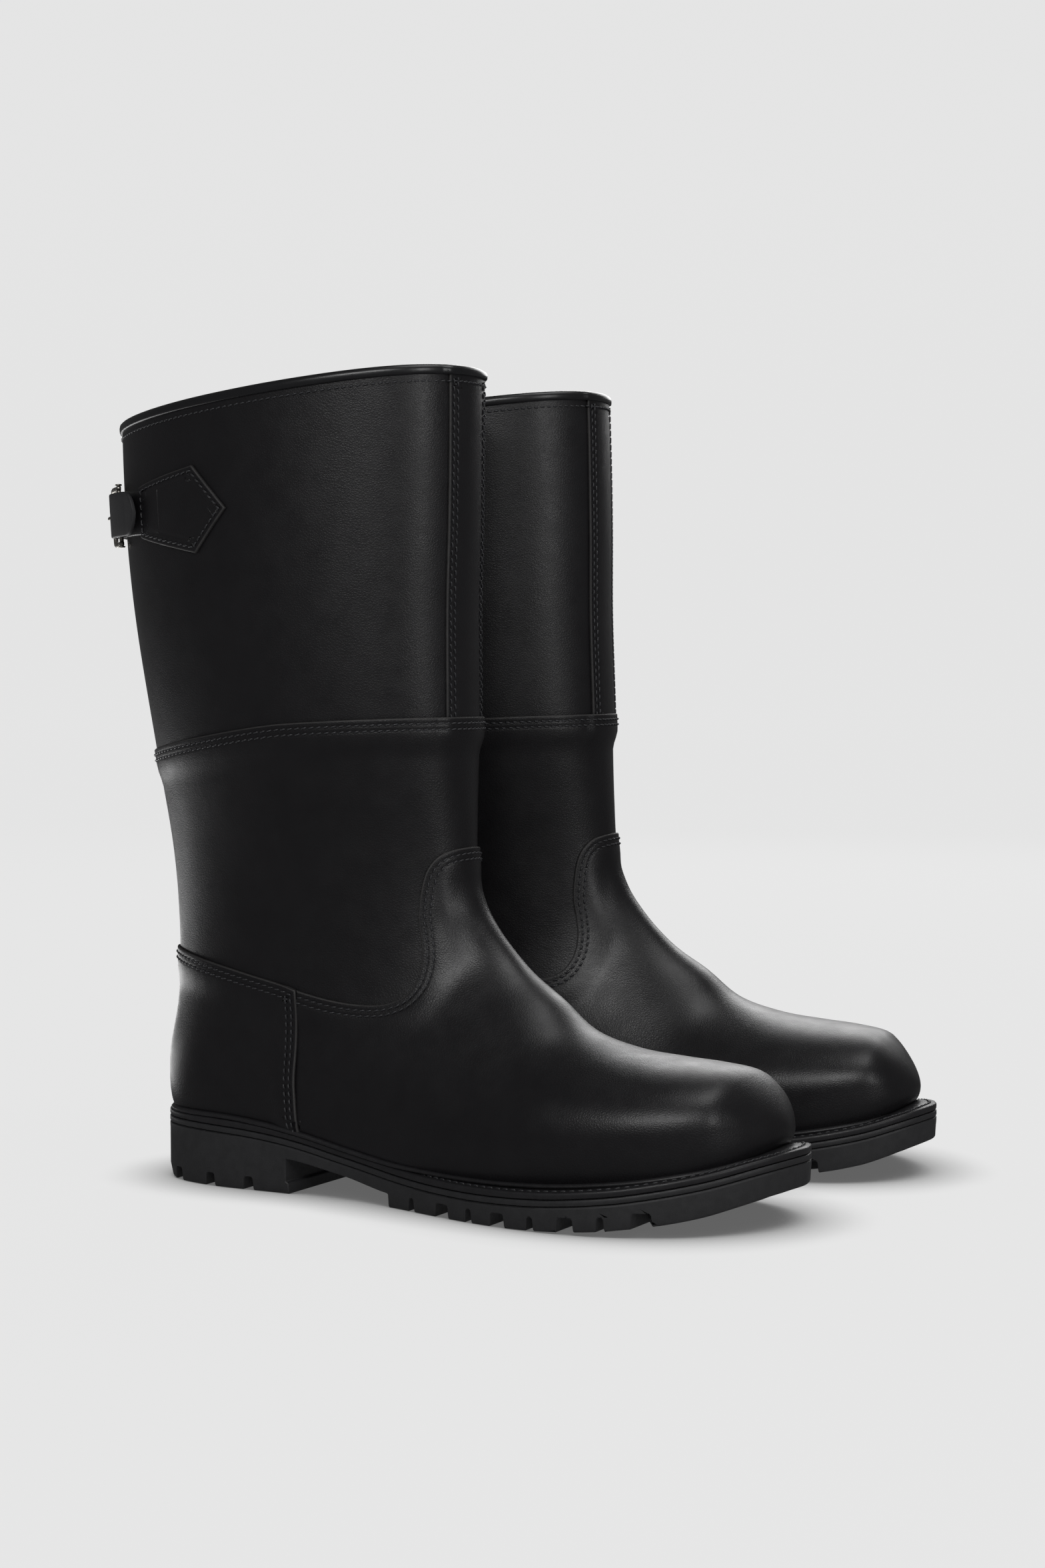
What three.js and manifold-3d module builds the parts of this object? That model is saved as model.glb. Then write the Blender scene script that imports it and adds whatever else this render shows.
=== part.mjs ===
// A pair of tall black leather fire boots on lugged rubber soles, in millimetres, +Z up.
// The wearer faces -Y: the right boot is on the -X side. Each boot is drawn in its own frame
// (toe along +X, outer side towards -Y, heel's back edge at the origin); the left one mirrors it.
import * as THREE from "three";
import { mergeVertices } from "three/addons/utils/BufferGeometryUtils.js";
import Module from "manifold-3d";

// ---- stance of the pair ----
const TOE_OUT = 4; // degrees, each boot turned outwards
const HEEL_SPREAD = 107; // between the centres of the two heels
const LEFT_BOOT_AHEAD = 16;
const LEAN = { right: 2.8, left: -4.2 }; // how far each shaft's top leans forwards
const LEAN_START = 120; // height where the lean begins
const LEAN_TOP = 364;

// ---- upper ----
const LEATHER = 2.0;
const LINING = 1.2;
const REINFORCEMENT = 1.5; // toe puff and heel stiffener
const GAP = 0.35; // between neighbouring pieces
const TOPLINE_FRONT = 364;
const TOPLINE_BACK = 344;
const BAND_FRONT = 211; // top edge of the lower shaft
const BAND_BACK = 194;
const SLIT_BOTTOM = 275;
const SLIT_HALF_ANGLE = 0.07; // half width per millimetre of height
const BINDING = 1.2;
const BINDING_DROP = 3.2;
const FRONT_STRIP_HALF_WIDTH = 15;
const BACK_STRIP_HALF_WIDTH = 5;
const OVERLAY = 1.5; // leather laid on top of the shaft panels

// ---- sole ----
const WELT = 3;
const MIDSOLE = 2.7;
const SOLE_GAP = 0.3;
const WELT_MARGIN = 13; // width of the welt's strip
const INSOLE = 2.6;
const SOCK_LINER = 1.2;
const RAND = 2.4;
const BREAST = 78; // front face of the heel
const LUG = 6; // depth of the tread
const SHANK = { start: 62, end: 150, halfWidth: 8, thickness: 1.2 };

// ---- strap and buckle ----
const STRAP_HEIGHT = 303; // centre line above the ground
const STRAP_HALF_WIDTH = 10;
const STRAP = 1.7;
const BUCKLE_ANGLE = 149; // degrees round the shaft from the front, by the outer side
const BUCKLE_END_ANGLE = 164.5; // where the free bar lies
const BAR_OFFSET = 3.0; // bar's centre off the shaft
const FREE_BAR_OFFSET = 4.3;
const BAR_RADIUS = 1.0;
const LOOP_RADIUS = 2.5;
const FRAME_HALF_HEIGHT = 14;
const FRAME_RAIL = 2.4;
const FRAME_THICKNESS = 2.2;
const PRONG_RADIUS = 0.8;
const PRONG_SLOT_HALF = 2.1;

// Sections of the upper, from above the topline to the toe's tip. Each is a closed curve between
// a front (or top) point and a back (or bottom) point in the boot's middle plane.
// [front x, front z, back x, back z, half width, widest place, back roundness, sideways shift]
const STATIONS = [
  [147.5, 376, -32.5, 353, 56, 0.5, 2.1, 0],
  [148, 340, -31, 322, 55.5, 0.5, 2.1, 0],
  [148, 298, -28, 285, 54.5, 0.5, 2.1, 0],
  [147.5, 256, -22, 245, 53, 0.5, 2.1, 0],
  [148.5, 206, -12, 195, 49, 0.5, 2.1, 0],
  [149.5, 170, -3, 150, 42, 0.52, 2.2, 0],
  [151, 145, 1, 113, 38, 0.56, 2.3, 0],
  [156, 129, 2, 81, 36.5, 0.63, 2.5, 0],
  [163, 118, 0, 51, 36.5, 0.7, 3, 0],
  [171.5, 108, 10, 27, 36.5, 0.71, 4, 0],
  [181.5, 98.5, 49, 24, 37.5, 0.68, 5, -1],
  [195, 89, 92, 20, 39.5, 0.64, 5, -2.5],
  [210, 76.5, 140, 13, 44, 0.57, 5, -4],
  [229.5, 70, 190, 11, 49.5, 0.54, 5, -4.5],
  [249.5, 67.5, 232, 13, 49, 0.53, 5, -3],
  [267.5, 66, 264, 18, 44, 0.52, 5, -1],
  [282, 63.5, 283.5, 24, 36, 0.51, 4, 1.5],
  [290, 57, 295, 30, 26, 0.5, 3, 4],
  [295, 48.5, 297.5, 36, 14, 0.5, 2.4, 5],
  [300, 41.5, 300, 41.5, 0, 0.5, 2, 5.5],
];
const FRONT_ROUNDNESS = 2.1;

// Edge of the sole seen from above: [x, outer side, inner side]
const SOLE_EDGE = [
  [-3, -1, 1],
  [0, -15, 15],
  [8, -27, 27],
  [20, -34, 34],
  [42, -38.5, 37.5],
  [75, -38.5, 34],
  [110, -39.5, 30.5],
  [135, -44, 31.5],
  [162, -52, 38],
  [190, -58.5, 46.5],
  [218, -60.5, 51],
  [245, -57, 51],
  [268, -47.5, 47],
  [283, -37, 41],
  [294, -25, 33.5],
  [303, -11, 23],
  [308, 4, 9],
];
// Height of the welt's top and of the tread's underside, along the boot: [x, z]
const WELT_TOP = [[-10, 31], [20, 31], [52, 30], [80, 27], [110, 21.5], [140, 17.2], [175, 15.6],
  [215, 16.5], [250, 20], [280, 25.5], [310, 33]];
const TREAD_BOTTOM = [[134, 0], [200, 0], [225, 0.8], [250, 3], [280, 8], [310, 17]];
const WAIST_BOTTOM = [[BREAST, 15.5], [110, 10.5], [134, 6]];

// ---- materials ----
function material(color, roughness, metalness = 0) {
  return new THREE.MeshStandardMaterial({ color, roughness, metalness });
}
const leather = () => material(0x17171a, 0.42);
const rubber = () => material(0x1d1d1f, 0.6);
const lining = () => material(0x2b2826, 0.8);
const board = () => material(0x8a6a45, 0.85);
const metal = () => material(0xb5afa5, 0.35, 1);

// ---- curves and solids ----
const wasm = await Module();
wasm.setup();

// Smooth value at place p of a row of numbers (Catmull-Rom).
function smooth(values, p) {
  const last = values.length - 1;
  const i = Math.min(Math.max(Math.floor(p), 0), last - 1);
  const f = p - i;
  const a = values[Math.max(i - 1, 0)];
  const b = values[i];
  const c = values[i + 1];
  const d = values[Math.min(i + 2, last)];
  const slopeB = (c - a) / 2;
  const slopeC = (d - b) / 2;
  const f2 = f * f;
  const f3 = f2 * f;
  return (2 * f3 - 3 * f2 + 1) * b + (f3 - 2 * f2 + f) * slopeB
    + (3 * f2 - 2 * f3) * c + (f3 - f2) * slopeC;
}

// Height of a line given by [x, z] points, at x.
function heightAt(points, x) {
  const last = points.length - 1;
  if (x <= points[0][0]) return points[0][1];
  if (x >= points[last][0]) return points[last][1];
  const i = points.findIndex((point) => point[0] > x) - 1;
  const place = i + (x - points[i][0]) / (points[i + 1][0] - points[i][0]);
  return smooth(points.map((point) => point[1]), place);
}

function manifold(positions, triangles) {
  const build = (t) => new wasm.Manifold(new wasm.Mesh({
    numProp: 3,
    vertProperties: positions,
    triVerts: t,
  }));
  const made = build(triangles);
  if (made.volume() > 0) return made;
  const turned = new Uint32Array(triangles);
  for (let i = 0; i < turned.length; i += 3) {
    [turned[i + 1], turned[i + 2]] = [turned[i + 2], turned[i + 1]];
  }
  return build(turned);
}

function solid(geometry) {
  const open = geometry.index ? geometry.toNonIndexed() : geometry;
  const bare = new THREE.BufferGeometry();
  bare.setAttribute("position", open.getAttribute("position"));
  const merged = mergeVertices(bare, 1e-3);
  return manifold(merged.attributes.position.array, new Uint32Array(merged.index.array));
}

function geometryOf(made) {
  const mesh = made.getMesh();
  const geometry = new THREE.BufferGeometry();
  geometry.setAttribute("position", new THREE.BufferAttribute(mesh.vertProperties, 3));
  geometry.setIndex(new THREE.BufferAttribute(mesh.triVerts, 1));
  const flat = geometry.toNonIndexed();
  flat.computeVertexNormals();
  return flat;
}

// A closed solid skinned over a row of rings that all have the same number of points.
function loft(rings) {
  const around = rings[0].length;
  const points = rings.flat();
  const last = (rings.length - 1) * around;
  const triangles = [];
  for (let row = 0; row < last; row += around) {
    for (let i = 0; i < around; i += 1) {
      const next = (i + 1) % around;
      triangles.push(row + i, row + next, row + around + i);
      triangles.push(row + next, row + around + next, row + around + i);
    }
  }
  const middles = [rings[0], rings[rings.length - 1]].map((ring) => (
    ring.reduce((sum, point) => sum.add(point), new THREE.Vector3()).divideScalar(around)
  ));
  const firstMiddle = points.push(...middles) - 2;
  for (let i = 0; i < around; i += 1) {
    const next = (i + 1) % around;
    triangles.push(firstMiddle, next, i);
    triangles.push(firstMiddle + 1, last + i, last + next);
  }
  const positions = points.flatMap((point) => point.toArray());
  return manifold(new Float32Array(positions), new Uint32Array(triangles));
}

function box(x0, y0, z0, x1, y1, z1) {
  const geometry = new THREE.BoxGeometry(x1 - x0, y1 - y0, z1 - z0);
  return solid(geometry.translate((x0 + x1) / 2, (y0 + y1) / 2, (z0 + z1) / 2));
}

// A prism that cuts straight across the boot: its outline is drawn in the side view, as [x, z].
function sidePrism(outline, yMin = -120, yMax = 120) {
  const shape = new THREE.Shape(outline.map(([x, z]) => new THREE.Vector2(x, z)));
  const geometry = new THREE.ExtrudeGeometry(shape, { depth: yMax - yMin, bevelEnabled: false });
  return solid(geometry.rotateX(Math.PI / 2).translate(0, yMax, 0));
}

// A prism along the boot, between xMin and xMax: its outline is drawn from behind, as [y, z].
function backPrism(outline, xMin, xMax) {
  const shape = new THREE.Shape(outline.map(([y, z]) => new THREE.Vector2(y, z)));
  const geometry = new THREE.ExtrudeGeometry(shape, { depth: xMax - xMin, bevelEnabled: false });
  const turn = new THREE.Matrix4().makeBasis(
    new THREE.Vector3(0, 1, 0),
    new THREE.Vector3(0, 0, 1),
    new THREE.Vector3(1, 0, 0),
  );
  return solid(geometry.applyMatrix4(turn).translate(xMin, 0, 0));
}

// ---- the upper's surface ----
const columns = STATIONS[0].map((_, i) => STATIONS.map((row) => row[i]));
let lean = 0; // of the boot that is being made
const LAST_STATION = STATIONS.length - 1.15; // just behind the toe's tip, where the form is closed

// Point at section s, at angle t round it: 0 is the front, and the outer side comes first.
function surfacePoint(s, t) {
  const [frontX, frontZ, backX, backZ, width, widest, backRound, shift] =
    columns.map((column) => smooth(column, s));
  const c = Math.cos(t);
  const k = Math.sin(t);
  const power = 2 / (c >= 0 ? FRONT_ROUNDNESS : backRound);
  const reach = Math.abs(c) ** power;
  const along = c >= 0 ? widest * (1 - reach) : widest + (1 - widest) * reach;
  const out = Math.sign(k) * Math.abs(k) ** power * width;
  const z = frontZ + (backZ - frontZ) * along;
  const leaning = (lean * Math.max(z - LEAN_START, 0)) / (LEAN_TOP - LEAN_START);
  return new THREE.Vector3(frontX + (backX - frontX) * along + leaning, shift - out, z);
}

function offsetPoint(s, t, offset) {
  const h = 0.02;
  const down = surfacePoint(s + h, t).sub(surfacePoint(s - h, t));
  const round = surfacePoint(s, t + h).sub(surfacePoint(s, t - h));
  const normal = round.cross(down).normalize();
  return surfacePoint(s, t).addScaledVector(normal, offset);
}

// Point on the shaft at angle t and height z.
function onShaft(t, z, offset) {
  let low = 0;
  let high = 7;
  for (let i = 0; i < 30; i += 1) {
    const middle = (low + high) / 2;
    if (surfacePoint(middle, t).z > z) low = middle;
    else high = middle;
  }
  return offsetPoint(low, t, offset);
}

const AROUND = 16;
const SECTIONS = [0, 1.5, 3, 4.5, 5.5, 6.5, 7.5, 8.2, 8.8, 9.4, 10, 11, 12, 13, 14, 15, 16, 17, 18,
  LAST_STATION];

// The boot's form as one closed solid, grown outwards by offset.
function form(offset) {
  const lastSection = offset < -1 ? 18 : LAST_STATION;
  const rings = SECTIONS.filter((s) => s <= lastSection).map((s) => Array.from(
    { length: AROUND },
    (_, i) => offsetPoint(s, (2 * Math.PI * i) / AROUND, offset),
  ));
  return loft(rings);
}

function shell(outer, inner) {
  return form(outer).subtract(form(inner));
}

// ---- cutting regions, in the side view ----
const FAR = 420;
const toplineSide = [
  [-60, TOPLINE_BACK - 4.5],
  [-26, TOPLINE_BACK],
  [146, TOPLINE_FRONT],
  [180, TOPLINE_FRONT + 4],
];
const bandSide = [
  [-60, BAND_BACK - 4],
  [-14, BAND_BACK],
  [30, 201],
  [80, 208],
  [149, BAND_FRONT],
  [180, BAND_FRONT],
];
// The seam round the vamp's tongue and the counter's top, from the back to the front.
const ankleSeam = [[-30, 104], [0, 105], [12, 104.5], [41, 99.5], [60, 95.5], [76, 92], [84, 89.5], [98, 86.5],
  [112, 85], [124, 85.5], [133, 89], [138, 96], [139.5, 105], [138.5, 114], [137, 124], [138, 138],
  [141, 147], [147, 152.5], [160, 155], [180, 155.5]];
const counterSeam = [[82, 90.2], [82.5, 80], [82.5, 66], [82.5, 52], [84, 40], [87, 20]];
const liningTop = [[-60, 126], [-30, 128], [60, 134], [180, 160]];

function above(line) {
  return sidePrism([...line, [line[line.length - 1][0], FAR], [line[0][0], FAR]]);
}

function lifted(line, rise) {
  return line.map(([x, z]) => [x, z + rise]);
}

// A line moved sideways, to its left.
function besides(line, distance) {
  return line.map(([x, z], i) => {
    const [x0, z0] = line[Math.max(i - 1, 0)];
    const [x1, z1] = line[Math.min(i + 1, line.length - 1)];
    const length = Math.hypot(x1 - x0, z1 - z0);
    return [x - ((z1 - z0) / length) * distance, z + ((x1 - x0) / length) * distance];
  });
}

// Everything higher than the welt's top by rise.
function aboveWelt(rise) {
  const line = [];
  for (let x = -40; x <= 340; x += 20) line.push([x, heightAt(WELT_TOP, x) + rise]);
  return sidePrism([...line, [340, FAR], [-40, FAR]]);
}

const slitAt = (grow) => backPrism([
  [-grow, SLIT_BOTTOM - grow],
  [grow, SLIT_BOTTOM - grow],
  [SLIT_HALF_ANGLE * (FAR - SLIT_BOTTOM) + grow, FAR],
  [-SLIT_HALF_ANGLE * (FAR - SLIT_BOTTOM) - grow, FAR],
], -60, 20);

// ---- the upper ----
function upperPieces() {
  const standing = aboveWelt(GAP);
  const underTopline = box(-60, -120, 0, 340, 120, FAR).subtract(above(toplineSide));
  const upperLeather = shell(0, -LEATHER).intersect(standing).intersect(underTopline);
  const aboveBand = above(lifted(bandSide, GAP));
  const aboveAnkle = above(besides(ankleSeam, GAP));
  const belowAnkle = sidePrism([...ankleSeam, [330, 155.5], [330, 0], [-30, 0]]);
  const behindCounterSeam = counterSeam.map(([x, z]) => [x - GAP, z]);
  const back = sidePrism([...behindCounterSeam, [88, 0], [-30, 0], [-30, 150], [82, 150]]);
  const front = sidePrism([...counterSeam.toReversed(), [82, 150], [330, 160], [330, 0], [88, 0]]);
  const shaft = upperLeather.intersect(aboveBand).subtract(slitAt(BINDING + 2));
  const outside = shell(GAP + OVERLAY, GAP).intersect(underTopline);
  const stiffening = shell(-LEATHER - GAP, -LEATHER - GAP - REINFORCEMENT).intersect(standing);
  const innerFoot = LEATHER + 2 * GAP + REINFORCEMENT;
  const footLining = shell(-innerFoot, -innerFoot - LINING).intersect(standing);
  const shaftOffset = LEATHER + GAP;
  const stiffenerSide = [[-30, 0], [72, 0], [60, 60], [30, 90], [-30, 92]];
  const puffSide = [[238, 0], [330, 0], [330, 120], [246, 120]];
  const gussetZone = backPrism([[-16, 262], [16, 262], [18, 338], [-18, 338]], -60, 20);
  const gussetHole = backPrism([[-17, 261], [17, 261], [21, FAR], [-21, FAR]], -60, 20);
  const inShaft = shell(-shaftOffset, -shaftOffset - LINING).intersect(underTopline);
  return [
    ["vamp", upperLeather.intersect(belowAnkle).intersect(front), leather()],
    ["counter", upperLeather.intersect(belowAnkle).intersect(back), leather()],
    ["lower_shaft", upperLeather.intersect(aboveAnkle).subtract(above(bandSide)), leather()],
    ["upper_shaft_outer", shaft.intersect(box(-60, -120, 0, 200, -GAP / 2, FAR)), leather()],
    ["upper_shaft_inner", shaft.intersect(box(-60, GAP / 2, 0, 200, 120, FAR)), leather()],
    ["front_strip", frontStrip(), leather()],
    ["back_strip", outside.intersect(backStripZone()), leather()],
    ["back_gusset", inShaft.intersect(gussetZone), leather()],
    ["topline_binding", binding(underTopline), leather()],
    ["heel_stiffener", stiffening.intersect(sidePrism(stiffenerSide)), board()],
    ["toe_puff", stiffening.intersect(sidePrism(puffSide)), board()],
    ["foot_lining", footLining.subtract(above(liningTop)), lining()],
    ["shaft_lining", inShaft.intersect(above(lifted(liningTop, 2))).subtract(gussetHole), lining()],
  ];
}

// The reinforcing strip down the front of the shaft, from the topline to the band.
function frontStrip() {
  const rows = [];
  for (let z = BAND_FRONT + 0.5; z < TOPLINE_FRONT - BINDING_DROP; z += 29.5) {
    const outer = [];
    const inner = [];
    for (let i = -3; i <= 3; i += 1) {
      const y = (i / 3) * FRONT_STRIP_HALF_WIDTH;
      const t = angleAtSide(y, z);
      outer.push(onShaft(t, z, GAP + OVERLAY));
      inner.unshift(onShaft(t, z, GAP));
    }
    rows.push([...outer, ...inner]);
  }
  return loft(rows);
}

// Angle near the front at which the shaft's surface is y away from the middle plane.
function angleAtSide(y, z) {
  let low = -1;
  let high = 1;
  for (let i = 0; i < 30; i += 1) {
    const middle = (low + high) / 2;
    if (onShaft(middle, z, 0).y > y) low = middle;
    else high = middle;
  }
  return low;
}

function backStripZone() {
  return box(-60, -BACK_STRIP_HALF_WIDTH, 101, 40, BACK_STRIP_HALF_WIDTH, BAND_BACK - 2);
}

// The rolled edge along the topline and down both sides of the slit at the back.
function binding(underTopline) {
  const inner = LEATHER + 2 * GAP + LINING;
  const wrap = shell(BINDING + GAP, -inner - BINDING);
  const core = shell(GAP, -inner).subtract(above(lifted(toplineSide, GAP)));
  const over = above(lifted(toplineSide, BINDING + GAP));
  const raised = above(lifted(toplineSide, -BINDING_DROP)).subtract(over);
  const rim = wrap.intersect(raised).subtract(core);
  const legs = shell(BINDING, -LEATHER).intersect(slitAt(BINDING + 1.6)).intersect(underTopline);
  return rim.add(legs).subtract(slitAt(0));
}

// ---- the sole ----
function edgeAt(p, inset) {
  const x = smooth(SOLE_EDGE.map((row) => row[0]), p);
  const outer = smooth(SOLE_EDGE.map((row) => row[1]), p);
  const inner = smooth(SOLE_EDGE.map((row) => row[2]), p);
  const middle = (outer + inner) / 2;
  const last = SOLE_EDGE.length - 1;
  const centre = (SOLE_EDGE[0][0] + SOLE_EDGE[last][0]) / 2;
  const shrink = 1 - inset / (centre - SOLE_EDGE[0][0]);
  const half = Math.max((inner - outer) / 2 - inset, 0.6);
  return { x: centre + (x - centre) * shrink, outer: middle - half, inner: middle + half };
}

// A layer of the sole between two heights, each a function of x.
function layer(bottom, top, inset, from = 0, to = SOLE_EDGE.length - 1) {
  const sections = [];
  for (let p = from; p <= to + 1e-6; p += 0.5) {
    const edge = edgeAt(p, inset);
    const low = bottom(edge.x);
    const high = top(edge.x);
    sections.push([
      new THREE.Vector3(edge.x, edge.outer, low),
      new THREE.Vector3(edge.x, edge.inner, low),
      new THREE.Vector3(edge.x, edge.inner, high),
      new THREE.Vector3(edge.x, edge.outer, high),
    ]);
  }
  return loft(sections);
}

const weltTop = (drop) => (x) => heightAt(WELT_TOP, x) - drop;

function treadBottom(x) {
  return Math.max(heightAt(TREAD_BOTTOM, x), 0);
}

// Underside of the rubber before the tread is cut.
function rubberBottom(x) {
  if (x < BREAST) return 0;
  if (x < WAIST_BOTTOM[2][0]) return heightAt(WAIST_BOTTOM, x);
  return treadBottom(x);
}

// A groove across the sole's edge: wider at the ground, from the edge inwards.
function groove(x, width, innerY, side) {
  const flare = 1.2;
  const ground = rubberBottom(x);
  const outline = [
    [x - width / 2, ground + LUG],
    [x - width / 2 - flare, ground - 5],
    [x + width / 2 + flare, ground - 5],
    [x + width / 2, ground + LUG],
  ];
  const beyond = 80;
  return side < 0 ? sidePrism(outline, -beyond, -innerY) : sidePrism(outline, innerY, beyond);
}

// [x, width, distance of the inner end from the middle plane] of each pair of grooves in the tread
const GROOVES = [[16, 4.5, 20], [37, 4.5, 26], [58, 4.5, 26], [148, 2.5, 30], [166, 6.5, 30],
  [181, 2.5, 36], [196, 6.5, 36], [212, 2.5, 38], [228, 6.5, 38], [243, 2.5, 38], [259, 7, 34]];

function outsole() {
  const cuts = GROOVES.flatMap(([x, width, innerY]) => [-1, 1].map((side) => (
    groove(x, width, innerY, side)
  )));
  const body = rubberBody(weltTop(WELT + MIDSOLE + 2 * SOLE_GAP));
  return cuts.reduce((rest, cut) => rest.subtract(cut), body);
}

function rubberBody(top) {
  const places = [0, 0.5, 1, 1.5, 2, 3, 4];
  const breast = 5.09; // just past the heel's front edge
  const sections = [];
  const push = (p, low) => {
    const edge = edgeAt(p, 0);
    const high = top(edge.x);
    const slope = p < 2 ? 2.5 * (1 - p / 2) : 0;
    sections.push([
      new THREE.Vector3(edge.x + slope, edge.outer + slope * 0.3, low),
      new THREE.Vector3(edge.x + slope, edge.inner - slope * 0.3, low),
      new THREE.Vector3(edge.x, edge.inner, high),
      new THREE.Vector3(edge.x, edge.outer, high),
    ]);
  };
  places.forEach((p) => push(p, 0));
  push(breast - 0.01, 0);
  push(breast, 15.5);
  for (let p = 5.5; p <= 6.9; p += 0.5) push(p, heightAt(WAIST_BOTTOM, edgeAt(p, 0).x));
  push(6.95, 6.1);
  push(7, 0);
  for (let p = 7.5; p <= SOLE_EDGE.length - 1; p += 0.5) push(p, treadBottom(edgeAt(p, 0).x));
  return loft(sections);
}

function solePieces() {
  const weltPlate = layer(weltTop(WELT), weltTop(0), 0);
  const last = SOLE_EDGE.length - 1;
  const opening = layer(weltTop(WELT + 3), weltTop(-3), WELT_MARGIN, 2, last - 2);
  const filler = layer(weltTop(WELT), weltTop(0), WELT_MARGIN + 2 * GAP, 2, last - 2);
  const pocketTop = weltTop(-2);
  const shankHeight = (x) => heightAt(WELT_TOP, x) - SHANK.thickness - 0.2;
  const pocketBottom = (x) => shankHeight(x) - GAP;
  const pocket = strip(
    SHANK.start - GAP,
    SHANK.end + GAP,
    SHANK.halfWidth + GAP,
    pocketBottom,
    pocketTop,
  );
  const shankTop = (x) => heightAt(WELT_TOP, x) - 0.2;
  const shank = strip(SHANK.start, SHANK.end, SHANK.halfWidth, shankHeight, shankTop);
  const inside = form(-(LEATHER + 3 * GAP + REINFORCEMENT + LINING));
  const bead = shell(GAP + RAND, GAP).intersect(aboveWelt(GAP)).subtract(aboveWelt(GAP + RAND));
  const insole = inside.intersect(aboveWelt(GAP)).subtract(aboveWelt(GAP + INSOLE));
  const linerBottom = 2 * GAP + INSOLE;
  const liner = inside.intersect(aboveWelt(linerBottom)).subtract(aboveWelt(linerBottom + SOCK_LINER));
  const midsoleTop = WELT + SOLE_GAP;
  return [
    ["outsole", outsole(), rubber()],
    ["midsole", layer(weltTop(midsoleTop + MIDSOLE), weltTop(midsoleTop), 0), rubber()],
    ["welt", weltPlate.subtract(opening), leather()],
    ["cork_filler", filler.subtract(pocket), board()],
    ["shank", shank, metal()],
    ["insole", insole, board()],
    ["sock_liner", liner, lining()],
    ["storm_rand", bead, leather()],
  ];
}

// A bar of constant width along the boot, between two heights.
function strip(from, to, halfWidth, bottom, top) {
  const steps = 8;
  const sections = [];
  for (let i = 0; i <= steps; i += 1) {
    const x = from + ((to - from) * i) / steps;
    sections.push([
      new THREE.Vector3(x, -halfWidth, bottom(x)),
      new THREE.Vector3(x, halfWidth, bottom(x)),
      new THREE.Vector3(x, halfWidth, top(x)),
      new THREE.Vector3(x, -halfWidth, top(x)),
    ]);
  }
  return loft(sections);
}

// ---- strap and buckle ----
const radians = THREE.MathUtils.degToRad;

// A strap that follows the shaft: each row is [angle, height above and below its centre line,
// inner face off the shaft, thickness].
function ribbon(rows) {
  return loft(rows.map(([angle, up, down, off, thickness]) => {
    const t = radians(angle);
    return [
      onShaft(t, STRAP_HEIGHT - down, off),
      onShaft(t, STRAP_HEIGHT - down, off + thickness),
      onShaft(t, STRAP_HEIGHT + up, off + thickness),
      onShaft(t, STRAP_HEIGHT + up, off),
    ];
  }));
}

// The five-sided end of a strap, sewn to the shaft, from its tip towards the back.
function patchRows(sign, off) {
  const outline = [[92, 0.5], [97.5, 10], [103, 19.5], [111, 16.5], [119, 14], [126, 12]];
  return outline.map(([angle, half]) => [sign * angle, half, half, off, OVERLAY]);
}

// The chape: from the patch to the buckle's bar, and round it.
function chape(buckle) {
  const rows = patchRows(1, GAP);
  for (const angle of [132, 138, 144, BUCKLE_ANGLE - 0.6]) {
    rows.push([angle, STRAP_HALF_WIDTH, STRAP_HALF_WIDTH, GAP, OVERLAY]);
  }
  const profile = [
    [BAR_RADIUS + GAP, -STRAP_HALF_WIDTH],
    [LOOP_RADIUS, -STRAP_HALF_WIDTH],
    [LOOP_RADIUS, STRAP_HALF_WIDTH],
    [BAR_RADIUS + GAP, STRAP_HALF_WIDTH],
  ];
  const loop = barTurned(profile).transform(buckle.elements);
  const slot = box(-4, -9, -PRONG_SLOT_HALF, 5, 9, PRONG_SLOT_HALF).transform(buckle.elements);
  const round = new THREE.CylinderGeometry(BAR_RADIUS + GAP, BAR_RADIUS + GAP, 40, 14);
  const channel = solid(round.rotateX(Math.PI / 2)).transform(buckle.elements);
  return ribbon(rows).add(loop).subtract(slot).subtract(channel);
}

// A body turned round the buckle's bar, from a closed outline of [radius, height].
function barTurned(outline, segments = 14) {
  const points = [...outline, outline[0]].map(([radius, height]) => new THREE.Vector2(radius, height));
  return solid(new THREE.LatheGeometry(points, segments).rotateX(Math.PI / 2));
}

// The billet comes round the back, goes under the frame's free bar, over the bar and ends in a tongue.
function billet(buckle) {
  const over = BAR_OFFSET + LOOP_RADIUS + GAP;
  const rows = [];
  const add = (angle, half, off) => rows.push([angle, half, half, off, STRAP]);
  for (const angle of [232, 224, 216, 208, 200]) add(angle, STRAP_HALF_WIDTH, GAP);
  // over the bound edges of the slit, then under the free bar
  const crossing = BINDING + 1.3 * GAP;
  for (const angle of [193, 186, 180, 174]) add(angle, STRAP_HALF_WIDTH, crossing);
  add(BUCKLE_END_ANGLE + 3.5, STRAP_HALF_WIDTH, 1);
  add(BUCKLE_END_ANGLE - 1.5, STRAP_HALF_WIDTH, 0.7);
  // [angle from the bar, inner face off the shaft]
  const rise = [[10, 1.3], [7, 3.2], [4, 4.9], [1, over], [-3, over], [-8, over], [-13, over - 0.4]];
  rise.forEach(([angle, off]) => add(BUCKLE_ANGLE + angle, STRAP_HALF_WIDTH, off));
  // [angle from the bar, half width, drop] of the rounded end
  const end = [[-16, 9, 0.7], [-18, 6.5, 0.9], [-19, 2.5, 1]];
  end.forEach(([angle, half, drop]) => add(BUCKLE_ANGLE + angle, half, over - drop));
  const slot = box(-0.8, -9, -PRONG_SLOT_HALF, 14.5, 9, PRONG_SLOT_HALF).transform(buckle.elements);
  return ribbon(rows).subtract(slot);
}

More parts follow.
